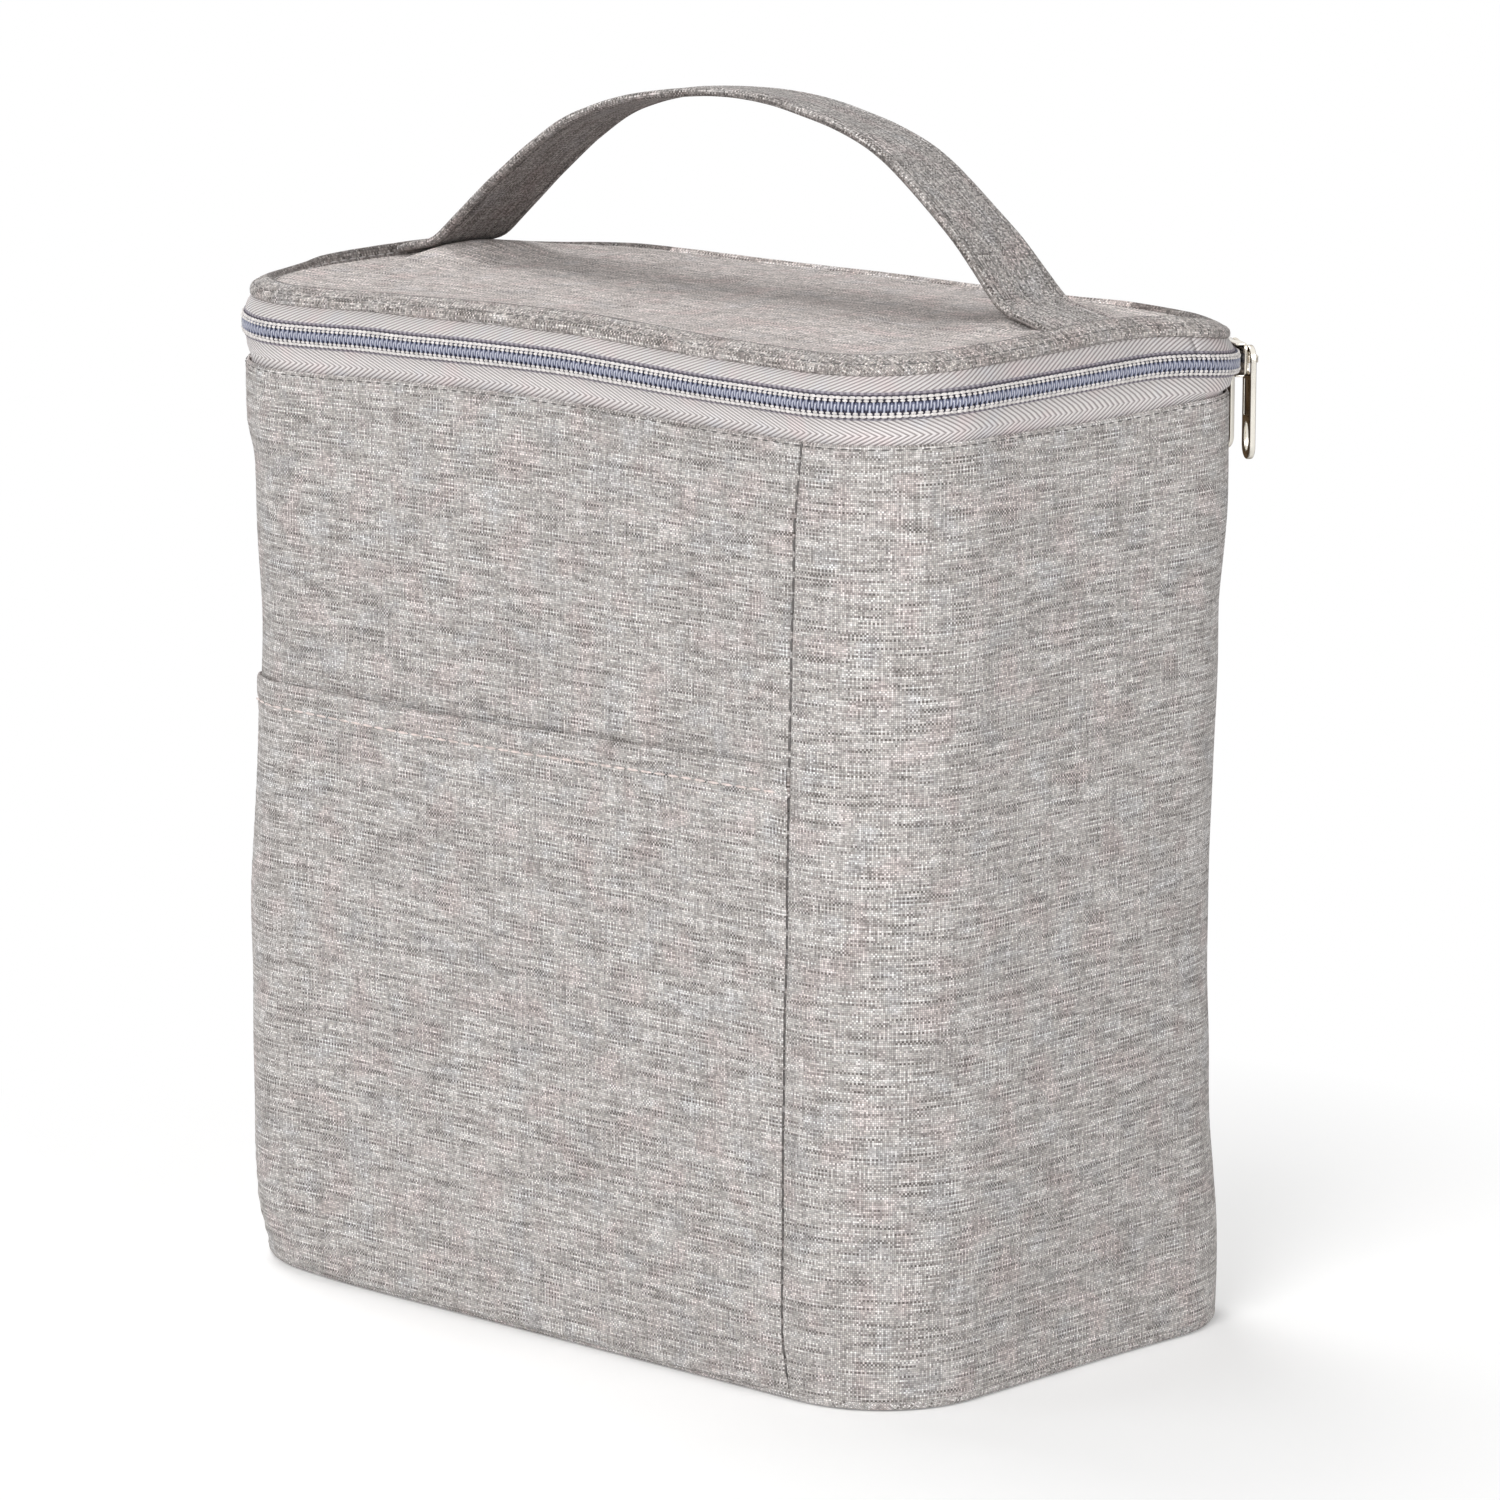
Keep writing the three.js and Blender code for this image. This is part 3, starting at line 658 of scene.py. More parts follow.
plain_weave, given, result = new_group(
    "plain_weave",
    [("Position", "Vector"), ("Threads per metre", "Float"), ("Streaks per metre", "Float")],
    [("Height", "Float"), ("Warp on top", "Float"), ("Weft tone", "Float"), ("Warp tone", "Float"),
     ("Crossing tone", "Float"), ("Fleck tone", "Float")],
)
tree = plain_weave
apart = add_node(tree, "SeparateXYZ", {"Vector": given["Position"]}).outputs
across, up = (maths(tree, "MULTIPLY", apart[axis], given["Threads per metre"]) for axis in "XY")
along_weft, along_warp = (maths(tree, "MULTIPLY", apart[axis], given["Streaks per metre"]) for axis in "XY")
column, row = maths(tree, "FLOOR", across), maths(tree, "FLOOR", up)
on_top = maths(tree, "MODULO", maths(tree, "ABSOLUTE", maths(tree, "ADD", column, row)), 2.0)
round_warp, round_weft = (
    maths(tree, "SINE", maths(tree, "MULTIPLY", maths(tree, "FRACT", way), math.pi)) for way in (across, up)
)
warp_height = maths(tree, "MULTIPLY", round_warp, maths(tree, "MULTIPLY_ADD", round_weft, 0.5, 0.5))
weft_height = maths(tree, "MULTIPLY", round_weft, maths(tree, "MULTIPLY_ADD", round_warp, 0.5, 0.5))
crossing = add_node(tree, "CombineXYZ", {"X": column, "Y": row}).outputs[0]


def thread_noise(x, y, detail):
    """Noise that is stretched along the threads and jumps from one thread to the next."""
    return noise(tree, add_node(tree, "CombineXYZ", {"X": x, "Y": y}).outputs[0], 1.0, detail, "2D")


spread = add_node(tree, "TexWhiteNoise", {"Vector": crossing}, noise_dimensions="2D")
short = maths(tree, "MULTIPLY", along_weft, 3.3)
for socket, value in {
    "Height": add_node(tree, "Mix", {0: on_top, 2: weft_height, 3: warp_height}).outputs[0],
    "Warp on top": on_top,
    "Crossing tone": spread.outputs["Value"],
    "Fleck tone": thread_noise(short, maths(tree, "MULTIPLY", row, 7.7), 0.0),
    "Weft tone": thread_noise(along_weft, maths(tree, "MULTIPLY", row, 3.71), 1.5),
    "Warp tone": thread_noise(maths(tree, "MULTIPLY", column, 3.13), along_warp, 1.5),
}.items():
    tree.links.new(value, result[socket])
print("group:", plain_weave.name)

# %% [markdown]
# A second group is the slow change that all used cloth has: soft patches where it is a little darker,
# and a faint turn of colour towards pink, olive or blue. Every textile on the bag uses it, with its
# own strength.

# %% Build the handling group
handled, given, result = new_group(
    "handled_cloth",
    [("Position", "Vector"), ("Colour", "Color"), ("Patches", "Float"), ("Tint", "Float")],
    [("Colour", "Color"), ("Rubbed", "Float")],
)
tree = handled
slow = noise(tree, given["Position"], 42.0, 3.0)
tint = noise(tree, given["Position"], 95.0, 1.0)
tint_colour = colour_ramp(tree, tint, [
    (0.34, (1.06, 0.965, 0.965)), (0.46, (1.0, 1.0, 1.0)), (0.56, (1.0, 1.0, 0.985)),
    (0.68, (0.96, 1.0, 1.04)),
])
turned = mix_colours(tree, 1.0, given["Colour"], tint_colour, blend="MULTIPLY")
tinted = mix_colours(tree, given["Tint"], given["Colour"], turned)
wear_and_painted_glint = remap(tree, slow, 0.3, 0.7)
darker = mix_colours(tree, 1.0, tinted, (0.86, 0.86, 0.87), blend="MULTIPLY")
patch = maths(tree, "MULTIPLY", wear_and_painted_glint, given["Patches"])
tree.links.new(mix_colours(tree, patch, tinted, darker), result["Colour"])
tree.links.new(wear_and_painted_glint, result["Rubbed"])
print("group:", handled.name)

# %% [markdown]
# The melange cloth mixes both tones by which thread is on top. The weft, which runs sideways, has the
# stronger contrast: its long streaks are what the eye reads first. The sides of each thread and the
# gaps between threads are painted darker, a painted shade of the weave's relief, and the same weave
# drives a fine bump.

# %% Mix the grey melange cloth
def bump(tree, strength, distance, height):
    """The bent normal of a fine relief."""
    relief = {"Strength": strength, "Distance": distance, "Height": height}
    return add_node(tree, "Bump", relief).outputs["Normal"]


def cloth_uv(tree):
    """The place on the flat cloth, in metres."""
    return add_node(tree, "UVMap", uv_map="cloth").outputs["UV"]


def woven_finish(name, threads, streaks, weft_stops, warp_stops, gap, bump_depth, patches, tint, rough,
                 flecks, speckle=0.56):
    """A plain-woven cloth: threads and streaks per metre, and the colours of its two thread sets."""
    material, tree, shader = new_material(name)
    position = cloth_uv(tree)
    weave = use_group(tree, plain_weave, {
        "Position": position, "Threads per metre": threads, "Streaks per metre": streaks,
    })
    weft = colour_ramp(tree, weave["Weft tone"], weft_stops)
    warp = colour_ramp(tree, weave["Warp tone"], warp_stops)
    fleck = colour_ramp(tree, weave["Fleck tone"], [(0.24, (1, 1, 1)), (0.33, (0, 0, 0))])
    weft = mix_colours(tree, maths(tree, "MULTIPLY", fleck, flecks), weft, (0.13, 0.105, 0.095))
    threads_seen = mix_colours(tree, weave["Warp on top"], weft, warp)
    # painted shade: the weave's height darkens the sides of each thread and the gaps between threads
    shade = maths(tree, "MULTIPLY_ADD", weave["Height"], 1 - gap, gap)
    speck = maths(tree, "MULTIPLY_ADD", weave["Crossing tone"], speckle, 1 - speckle / 2)
    shade = maths(tree, "MULTIPLY", shade, speck)
    shade = add_node(tree, "CombineColor", {0: shade, 1: shade, 2: shade}).outputs[0]
    cloth = mix_colours(tree, 1.0, threads_seen, shade, blend="MULTIPLY")
    used = use_group(tree, handled, {"Position": position, "Colour": cloth, "Patches": patches, "Tint": tint})
    set_inputs(tree, shader, {
        "Base Color": used["Colour"],
        "Roughness": maths(tree, "MULTIPLY_ADD", used["Rubbed"], -0.08, rough),
        "Normal": bump(tree, 0.8, bump_depth, weave["Height"]),
        "Specular IOR Level": 0.25,
        "Sheen Weight": 0.12,
        "Sheen Roughness": 0.5,
    })
    return material


def shaded(stops, shade):
    """The same colour stops, darker or warmer; shade is what each colour is multiplied by."""
    return [(stop, tuple(a * b for a, b in zip(shade, colour))) for stop, colour in stops]


def melange_finish(name, shade, flecks, speckle):
    """The bag's own cloth; shade multiplies its colour, for lighter, darker or warmer copies of it. The
    lighter and darker copies are painted light and painted shade.
    """
    weft = [
        (0.29, (0.20, 0.18, 0.165)), (0.39, (0.45, 0.415, 0.395)), (0.50, (0.66, 0.625, 0.60)),
        (0.58, (0.87, 0.835, 0.81)), (0.65, (1.0, 0.98, 0.96)),
    ]
    warp = [(0.28, (0.48, 0.45, 0.435)), (0.50, (0.67, 0.64, 0.62)), (0.68, (0.86, 0.83, 0.815))]
    return woven_finish(
        name, 2150, 85, shaded(weft, shade), shaded(warp, shade), 0.5, 0.00012, 0.3, 0.5, 0.88,
        flecks, speckle,
    )


melange = melange_finish("melange_cloth", (1.0, 0.99, 0.99), 0.45, 0.65)
# painted light: the lid's copy is lighter, for the light on its top, and its tint is warmer
lid_painted_light_melange = melange_finish("lid_melange_cloth_painted_light", (1.17, 1.11, 1.10), 0.6, 0.8)
# painted shade: the lip's copy is darker, and the crease's much darker, for the shade on the rolled rim and
# in the dip behind it
lip_painted_shade_melange = melange_finish("lid_lip_painted_shade_cloth", (0.88, 0.85, 0.84), 0.7, 1.0)
crease_painted_shade_melange = melange_finish("lid_crease_painted_shade_cloth", (0.44, 0.415, 0.405), 0.7, 1.0)
# painted shade: the strap underside's copy is a painted shadow, and the strap's own copy is darker, partly
# painted shade
strap_underside_painted_shadow_melange = melange_finish("strap_underside_painted_shadow_cloth", (0.53, 0.505, 0.50), 0.9, 1.0)
strap_partly_painted_shade_melange = melange_finish("strap_melange_cloth_partly_painted_shade", (0.81, 0.79, 0.785), 0.9, 1.2)
binding_tape = woven_finish(
    "binding_ribbon", 1900, 60,
    [(0.35, (0.19, 0.185, 0.19)), (0.65, (0.31, 0.30, 0.31))],
    [(0.35, (0.21, 0.205, 0.21)), (0.65, (0.33, 0.32, 0.33))],
    0.6, 0.00010, 0.5, 0.3, 0.8, 0.2,
)
print("cloths:", melange.name, binding_tape.name)

# %% [markdown]
# The zip's tape is woven in a herringbone: slanting ribs that turn back every few millimetres. The
# slant comes from adding a share of the height to the length, and the turn from PINGPONG, which runs
# the height up and down. A thin ramp across each rib paints it light on one side and dark in the groove
# beside it: painted light and painted shade of the ribs.

# %% Mix the zip's finishes
def object_place(tree):
    """The place on the object, in metres."""
    return add_node(tree, "TexCoord").outputs["Object"]


def sewing_thread(name, colour):
    """A fine sewing thread, with light and dark along it."""
    material, tree, shader = new_material(name)
    grain = noise(tree, object_place(tree), 900.0, 2.0)
    dark = tuple(0.72 * value for value in colour)
    set_inputs(tree, shader, {
        "Base Color": colour_ramp(tree, grain, [(0.35, dark), (0.62, colour)]),
        "Roughness": 0.6,
        "Normal": bump(tree, 0.5, 0.0001, grain),
    })
    return material


def ripple(tree, distance, pitch):
    """Even waves from 0 to 1, one for each pitch of the distance."""
    wave = maths(tree, "SINE", maths(tree, "MULTIPLY", distance, 2 * math.pi / pitch))
    return maths(tree, "MULTIPLY_ADD", wave, 0.5, 0.5)


def tape_finish(name, shade):
    """The zip's ribbon in herringbone; shade multiplies its colour, and a shade below 1 is painted shade."""
    material, tree, shader = new_material(name)
    uv = cloth_uv(tree)
    apart = add_node(tree, "SeparateXYZ", {"Vector": uv}).outputs
    zigzag = maths(tree, "PINGPONG", apart["Y"], 0.0042)
    rib = ripple(tree, maths(tree, "MULTIPLY_ADD", zigzag, 2.0, apart["X"]), 0.0018)
    stops = [
        (0.0, (0.31, 0.275, 0.275)), (0.25, (0.60, 0.55, 0.545)), (0.5, (0.80, 0.75, 0.745)),
        (1.0, (0.92, 0.88, 0.875)),
    ]
    # painted light and shade: each rib is painted light along its crest and dark between ribs
    rib_painted_light_and_shade = colour_ramp(tree, rib, shaded(stops, (shade, shade, shade)))
    used = use_group(tree, handled, {"Position": uv, "Colour": rib_painted_light_and_shade, "Patches": 0.35, "Tint": 0.6})
    set_inputs(tree, shader, {
        "Base Color": used["Colour"],
        "Roughness": maths(tree, "MULTIPLY_ADD", noise(tree, uv, 2600.0, 1.0), 0.2, 0.5),
        "Normal": bump(tree, 0.9, 0.00016, rib),
        "Sheen Weight": 0.15,
    })
    return material


herringbone = tape_finish("herringbone_tape", 1.0)
# painted shade: the upper tape's copy is darker, for the shade of the lid over it
upper_tape_painted_shade = tape_finish("upper_herringbone_tape_painted_shade", 0.86)

violet_line, tree, shader = new_material("violet_woven_line")
uv = cloth_uv(tree)
dash = ripple(tree, add_node(tree, "SeparateXYZ", {"Vector": uv}).outputs["X"], 0.0015)
dash_colour = colour_ramp(tree, dash, [(0.15, (0.42, 0.39, 0.43)), (0.75, (0.20, 0.18, 0.215))])
used = use_group(tree, handled, {"Position": uv, "Colour": dash_colour, "Patches": 0.4, "Tint": 0.4})
set_inputs(tree, shader, {
    "Base Color": used["Colour"], "Roughness": 0.7, "Normal": bump(tree, 0.6, 0.0002, dash),
})

cream_thread = sewing_thread("cream_coil_thread", (0.86, 0.82, 0.80))
hem_thread = sewing_thread("pink_hem_thread", (0.92, 0.80, 0.76))
# partly painted shade: this dark thread also stands in for the shade in the seams' folds and under the wall's
# top edge
dark_thread_partly_painted_shade = sewing_thread("dark_seam_thread_partly_painted_shade", (0.15, 0.14, 0.135))
grey_thread = sewing_thread("grey_topstitch_thread", (0.50, 0.475, 0.465))

# The outermost line of every wire of the coil is painted pale, a painted glint, which is what makes the loops
# countable.
coil_wire, tree, shader = new_material("slate_coil_wire")
coordinates = add_node(tree, "TexCoord").outputs
grain = noise(tree, coordinates["Object"], 260.0, 1.0)
wire_colour = colour_ramp(tree, grain, [(0.35, (0.135, 0.15, 0.235)), (0.65, (0.19, 0.205, 0.30))])
size = vector_maths(tree, "ABSOLUTE", coordinates["Object"])
past = vector_maths(tree, "SUBTRACT", size, (FRONT_HALF, SIDE_HALF, 9.0))
past = vector_maths(tree, "MAXIMUM", past)
outward = vector_maths(tree, "MULTIPLY", past, vector_maths(tree, "SIGN", coordinates["Object"]))
outward = vector_maths(tree, "NORMALIZE", outward)
facing = vector_maths(tree, "DOT_PRODUCT", coordinates["Normal"], outward, output="Value")
# painted highlight: where a wire faces straight out of the bag its colour is lightened to pale, a painted
# glint
wear_and_painted_glint = maths(tree, "MULTIPLY", remap(tree, facing, 0.86, 0.97), 0.65)
set_inputs(tree, shader, {
    "Base Color": mix_colours(tree, wear_and_painted_glint, wire_colour, (0.74, 0.75, 0.84)),
    "Roughness": maths(tree, "MULTIPLY_ADD", grain, 0.14, 0.10),
    "Normal": bump(tree, 0.25, 0.0001, grain),
    "Coat Weight": 0.9,
    "Coat Roughness": 0.06,
})

# painted shade: the core cord is painted near black, for the shade in the holes between the loops
coil_core_painted_shade, tree, shader = new_material("coil_core_cord_painted_shade")
grain = noise(tree, object_place(tree), 1500.0, 1.0)
set_inputs(tree, shader, {
    "Base Color": colour_ramp(tree, grain, [(0.3, (0.045, 0.04, 0.06)), (0.7, (0.11, 0.10, 0.14))]),
    "Roughness": maths(tree, "MULTIPLY_ADD", grain, 0.2, 0.65),
})
print("zip finishes:", herringbone.name, coil_wire.name)

# %% [markdown]
# Four finishes are left. Two are hidden until the lid opens: the crinkled foil and the white foam.
# Foil is a mirror broken into small facets, so cells drive both its tone and its bump. Foam is pale
# and full of tiny pores, each painted darker in its middle as painted shade. The sliders and stops are
# a warm nickel with fine scratches. The pulls are a nickel painted dark on their faces, a painted
# reflection of the shaded wall beside them, and pale on their narrow sides, a painted highlight.

# %% Mix foil, foam and nickel
foil, tree, shader = new_material("crinkled_foil")
uv = cloth_uv(tree)
bent = add_node(tree, "TexNoise", {"Vector": uv, "Scale": 90.0, "Detail": 2.0}).outputs["Color"]
moved = add_node(tree, "Mix", {0: 0.012, 4: uv, 5: bent}, data_type="VECTOR").outputs[1]
cells = add_node(tree, "TexVoronoi", {"Vector": moved, "Scale": 210.0}, feature="F1").outputs
creases = add_node(tree, "TexVoronoi", {"Vector": moved, "Scale": 120.0}, feature="DISTANCE_TO_EDGE").outputs
tone = colour_ramp(tree, cells["Color"], [(0.0, (0.50, 0.51, 0.53)), (1.0, (0.74, 0.75, 0.77))])
used = use_group(tree, handled, {"Position": uv, "Colour": tone, "Patches": 0.6, "Tint": 0.2})
crease = maths(tree, "MULTIPLY", creases["Distance"], 60.0, clamp=True)
set_inputs(tree, shader, {
    "Base Color": used["Colour"],
    "Metallic": 0.85,
    "Roughness": maths(tree, "MULTIPLY_ADD", used["Rubbed"], 0.15, 0.24),
    "Normal": bump(tree, 0.7, 0.0004, maths(tree, "MULTIPLY_ADD", cells["Distance"], 0.8, crease)),
})

foam, tree, shader = new_material("white_foam")
pores = {"Vector": object_place(tree), "Scale": 900.0}
pores = add_node(tree, "TexVoronoi", pores, feature="F1").outputs["Distance"]
# painted shade: each pore is painted darker towards its middle
set_inputs(tree, shader, {
    "Base Color": colour_ramp(tree, pores, [(0.0, (0.58, 0.58, 0.56)), (0.5, (0.82, 0.82, 0.80))]),
    "Roughness": maths(tree, "MULTIPLY_ADD", pores, -0.1, 0.95),
    "Normal": bump(tree, 0.5, 0.0004, pores),
})

nickel, tree, shader = new_material("warm_nickel")
position = object_place(tree)
brushed = add_node(tree, "Mapping", {"Vector": position, "Scale": (3000.0, 3000.0, 160.0)})
scratches = noise(tree, brushed.outputs["Vector"], 1.0, 3.0)
smudges = noise(tree, position, 260.0, 2.0)
worn = remap(tree, add_node(tree, "NewGeometry").outputs["Pointiness"], 0.5, 0.62)
plate = colour_ramp(tree, smudges, [(0.3, (0.60, 0.53, 0.43)), (0.7, (0.70, 0.64, 0.55))])
rough = maths(tree, "MULTIPLY_ADD", scratches, 0.14, 0.08)
set_inputs(tree, shader, {
    "Base Color": mix_colours(tree, worn, plate, (0.86, 0.82, 0.75)),
    "Metallic": 1.0,
    "Roughness": maths(tree, "MULTIPLY_ADD", smudges, 0.1, rough),
    "Normal": bump(tree, 0.12, 0.00005, scratches),
})

pull_nickel_painted_reflection, tree, shader = new_material("pull_nickel_painted_dark_reflection_pale_edges")
coordinates = add_node(tree, "TexCoord").outputs
from_corner = vector_maths(tree, "SUBTRACT", coordinates["Object"], (FRONT_HALF, SIDE_HALF, 0.0))
outward = vector_maths(tree, "NORMALIZE", vector_maths(tree, "MULTIPLY", from_corner, (1.0, 1.0, 0.0)))
facing = vector_maths(tree, "DOT_PRODUCT", coordinates["Normal"], outward, output="Value")
# painted reflection and highlight: the faces are painted dark, for the shaded wall they reflect, and the
# narrow sides pale, for their highlight
painted_edge_highlight = remap(tree, maths(tree, "ABSOLUTE", facing), 0.9, 0.6)
smudges = noise(tree, coordinates["Object"], 300.0, 2.0)
plate = colour_ramp(tree, smudges, [(0.3, (0.16, 0.13, 0.105)), (0.7, (0.23, 0.19, 0.155))])
set_inputs(tree, shader, {
    "Base Color": mix_colours(tree, painted_edge_highlight, plate, (0.88, 0.84, 0.76)),
    "Metallic": 1.0,
    "Specular Tint": (0.35, 0.30, 0.26, 1),
    "Roughness": maths(tree, "MULTIPLY_ADD", smudges, 0.16, 0.14),
    "Normal": bump(tree, 0.1, 0.00005, smudges),
})
print("last finishes:", foil.name, foam.name, nickel.name, pull_nickel_painted_reflection.name)

# %% [markdown]
# ## The wall
#
# The wall is two panels of melange cloth. The front one ends at an upright seam near each front
# corner, and the other wraps round the sides and the back. At a seam the cloth turns in, and each
# stitch pulls a small pucker into it. At the foot and at the mouth the edges are turned in too.
#
# Each panel is a grid whose columns crowd together towards the seams, where the shape changes fast.

# %% Place the two upright seams
CLOTH_THICK = 0.0006
LEFT_SEAM = -0.10399
RIGHT_SEAM_MIDDLE = 0.0789
SEAM_STITCH = 0.0045


def right_seam(z):
    """The right seam isn't quite straight: it bows a few millimetres to the left halfway up."""
    heights = [0, 0.006, 0.014, 0.045, 0.07, 0.146, 0.20, 0.222]
    return np.interp(z, heights, [0.0797, 0.0780, 0.0767, 0.0766, 0.0771, 0.0784, 0.0796, 0.0820])


def left_seam(z):
    return LEFT_SEAM + 0.0008 * np.sin(np.asarray(z, float) * 22)


def crowded(count):
    """Shares from 0 to 1, closer together near both ends."""
    t = np.linspace(0, 1, count)
    return np.where(t > 0.5, 1 - 0.5 * (2 * (1 - t)) ** 2.2, np.where(t < 0.5, 0.5 * (2 * t) ** 2.2, t))


def seam_turn(distance, z, depth=0.0010):
    """How far the cloth turns in at this distance from a seam, with a pucker at each stitch."""
    close = np.clip(distance / 0.0013, 0, 1)
    turned = -depth * (1 - np.sqrt(np.clip(1 - (1 - close) ** 2, 0, 1)))
    pull = 0.5 + 0.5 * np.cos(2 * math.pi * z / SEAM_STITCH)
    tight = 0.00016 + 0.00035 * np.exp(-z / 0.016)
    reach = 0.0030 + 0.0045 * np.exp(-z / 0.02)
    return turned - tight * (0.35 + pull) * np.exp(-((distance / reach) ** 2))


def rows_up(out, top):
    """Rows at one distance out, close together near the foot and wider apart up to the top."""
    heights = np.concatenate([np.arange(0.0042, 0.030, 0.00112), np.arange(0.031, top, 0.0022)])
    return [(out, z) for z in heights]


WALL_ROWS = [(-0.0013, 0.0021), (-0.0007, 0.0017), (-0.0002, 0.0021), (0.0, 0.0031), *rows_up(0.0, 0.2155)]
WALL_ROWS += [(0.0, 0.2170), (0.0, 0.2183), (-0.00008, 0.2191), (-0.00035, 0.2197), (-0.0007, 0.2199)]
print("rows up the wall:", len(WALL_ROWS))

# %% Cut the two wall panels
def wall_panel(name, start, end, u_shift, columns):
    """A wall panel between two seams; start and end give the seam's place at each height."""
    rows = np.array(WALL_ROWS)
    out, z = rows[None, :, 0], rows[None, :, 1]
    left, right = start(z), end(z)
    s = left + crowded(columns)[:, None] * (right - left)
    pressed = seam_turn(np.minimum(s - left, right - s), z)
    return sheet_of(name, place(s, out + pressed, z), s + u_shift, z, melange, CLOTH_THICK)


front_cloth = wall_panel("front_cloth", left_seam, right_seam, 0.0, 128)
wrap_cloth = wall_panel("wrap_cloth", right_seam, lambda z: left_seam(z) + AROUND, 0.731, 220)
wear(front_cloth, "bag", "front_panel")
wear(wrap_cloth, "bag", "wrap_panel")
print("wall faces:", faces_in(front_cloth), faces_in(wrap_cloth))

# %% [markdown]
# The seams are closed with a dark grey thread. It shows only as short dashes down in the fold, one
# for each stitch, and their dark colour is partly painted shade of the gap at each stitch. The same
# thread joins the zip's tape to the wall, in fine dashes along its top, partly painted shadow of the
# wall's folded edge there.

# %% Sew the two upright seams
def facing_out(s, out, z):
    """Frames for stitches on the wall, facing straight out of it."""
    points = place(s, out, z)
    return frames_along(points, place(s, 0.01, z) - points)


# Each stitch's length, width and height.
SEAM_DASH, MOUTH_DASH = (0.0032, 0.00075, 0.00060), (0.0019, 0.00042, 0.00036)
ROW_STEP = 0.0031
z = np.arange(0.0045, 0.2185, SEAM_STITCH) + 0.0022
# partly painted shade: the seams' dark dashes stand in for the shade in the gap at each stitch as well as for
# the thread
for name, seam in (("right_seam_stitches", right_seam), ("left_seam_stitches", left_seam)):
    stitches = sew(name, SEAM_DASH, facing_out(seam(z), -0.00048, z), dark_thread_partly_painted_shade)
    wear(stitches, "bag")
print("seam stitches:", len(z), "in each seam")

s = np.arange(0, AROUND - 0.002, ROW_STEP)
mouth_frames = facing_out(s, -0.00012, 0.2190)
# partly painted shadow: these dark dashes also stand in for the shadow of the wall's folded top edge
mouth_stitches = sew("mouth_stitches", MOUTH_DASH, mouth_frames, dark_thread_partly_painted_shade)
wear(mouth_stitches, "bag")
print("stitches round the mouth:", len(s))

# %% [markdown]
# The front pocket is one more layer of the same cloth, sewn into the same seams. Its mouth is folded
# over to the inside and held by one row of pale pink stitches, 6 mm down. The mouth isn't quite
# level, and it stands a little away from the panel behind it.

# %% Cut the front pocket
HEM = 0.0060
HEM_STITCH, HEM_STEP = (0.0034, 0.0006, 0.0005), 0.0041


def pocket_mouth(s):
    return 0.1452 + 0.0126 * (np.asarray(s, float) - 0.03) - 0.0006 * hump(s, -0.02, 0.04)


def gape(z, edge):
    """How far the mouth stands off the panel behind it; edge is the distance from the nearer seam."""
    return 0.0005 * smooth_step(z, 0.118, 0.144) * smooth_step(edge, 0.0, 0.04)


POCKET_ROWS = [(-0.0004, 0.0020), (0.0003, 0.0015), (0.0008, 0.0020), (0.00105, 0.0031)]
POCKET_ROWS += rows_up(0.00105, 0.1345)
HEM_ROWS = [
    (0.00105, -0.0074), (0.00102, -0.0065), (0.00088, -0.0060), (0.00112, -0.0055), (0.00135, -0.0045),
    (0.00140, -0.0030), (0.00140, -0.0014), (0.00135, -0.0006), (0.00115, -0.0001), (0.00085, 0.0000),
    (0.00052, -0.0002), (0.00034, -0.0008), (0.00030, -0.0030), (0.00030, -0.0052), (0.00032, -0.0070),
]
out, up = np.array(POCKET_ROWS + HEM_ROWS).T[:, None, :]
is_hem = (np.arange(up.shape[1]) >= len(POCKET_ROWS))[None, :] * 1.0
left, right = left_seam(0.07), right_seam(np.where(is_hem, 0.144, up))
s = left + crowded(128)[:, None] * (right - left)
z = up + is_hem * pocket_mouth(s)
edge = np.minimum(s - left, right - s)
tuck = -0.0002 * (1 - smooth_step(edge, 0.0, 0.0022))
tuck = tuck - (0.00052 - 0.00022 * is_hem) * (1 - smooth_step(edge, 0.0, 0.014))
points = place(s, out + tuck + gape(z, edge) + seam_turn(edge, z, 0.0003), z)
walk = np.linalg.norm(np.diff(points, axis=1), axis=2)
up_cloth = 0.0015 + np.concatenate([np.zeros((len(points), 1)), np.cumsum(walk, axis=1)], axis=1)
pocket_cloth = sheet_of("pocket_cloth", points, s + 0.377, up_cloth, melange, 0.00045)
wear(pocket_cloth, "bag", "front_pocket")

s = np.arange(-0.0985, 0.0765, HEM_STEP)
z = pocket_mouth(s) - HEM
lifted = gape(z, np.minimum(s - LEFT_SEAM, RIGHT_SEAM_MIDDLE - s))
sunk = 0.0001 * (1 - smooth_step(s, -0.06, -0.02))
hem_frames = facing_out(s, 0.00108 - sunk + lifted, z)
hem_stitches = sew("pocket_hem_stitches", HEM_STITCH, hem_frames, hem_thread)
wear(hem_stitches, "bag")
print("pocket mouth:", [round(float(pocket_mouth(end)) * 1000, 1) for end in (-0.09, 0.078)], "mm up")

# %% [markdown]
# The base is a flat piece of the same cloth. Its edge turns up 2 to 3 mm round the foot of the wall,
# which makes the narrow band seen just above the floor. `round_sheet` fills an outline: a few rows
# follow the edge, and the rest close in on a short line down the middle.

# %% Cut the base
SPINE = 0.046


def even_stations(stretch):
    """Places all round whose front and back points face each other, so both halves close on the spine."""
    places, begun = [], 0.0
    for kind, _, _, length in LEGS:
        halves = 2 if length > 1.5 * FRONT_HALF else 1
        count = halves * math.ceil(length / halves / (stretch if kind == "straight" else 0.0022))
        places.append(begun + np.arange(count) * length / count)
        begun += length
    return np.append(np.concatenate(places), AROUND)


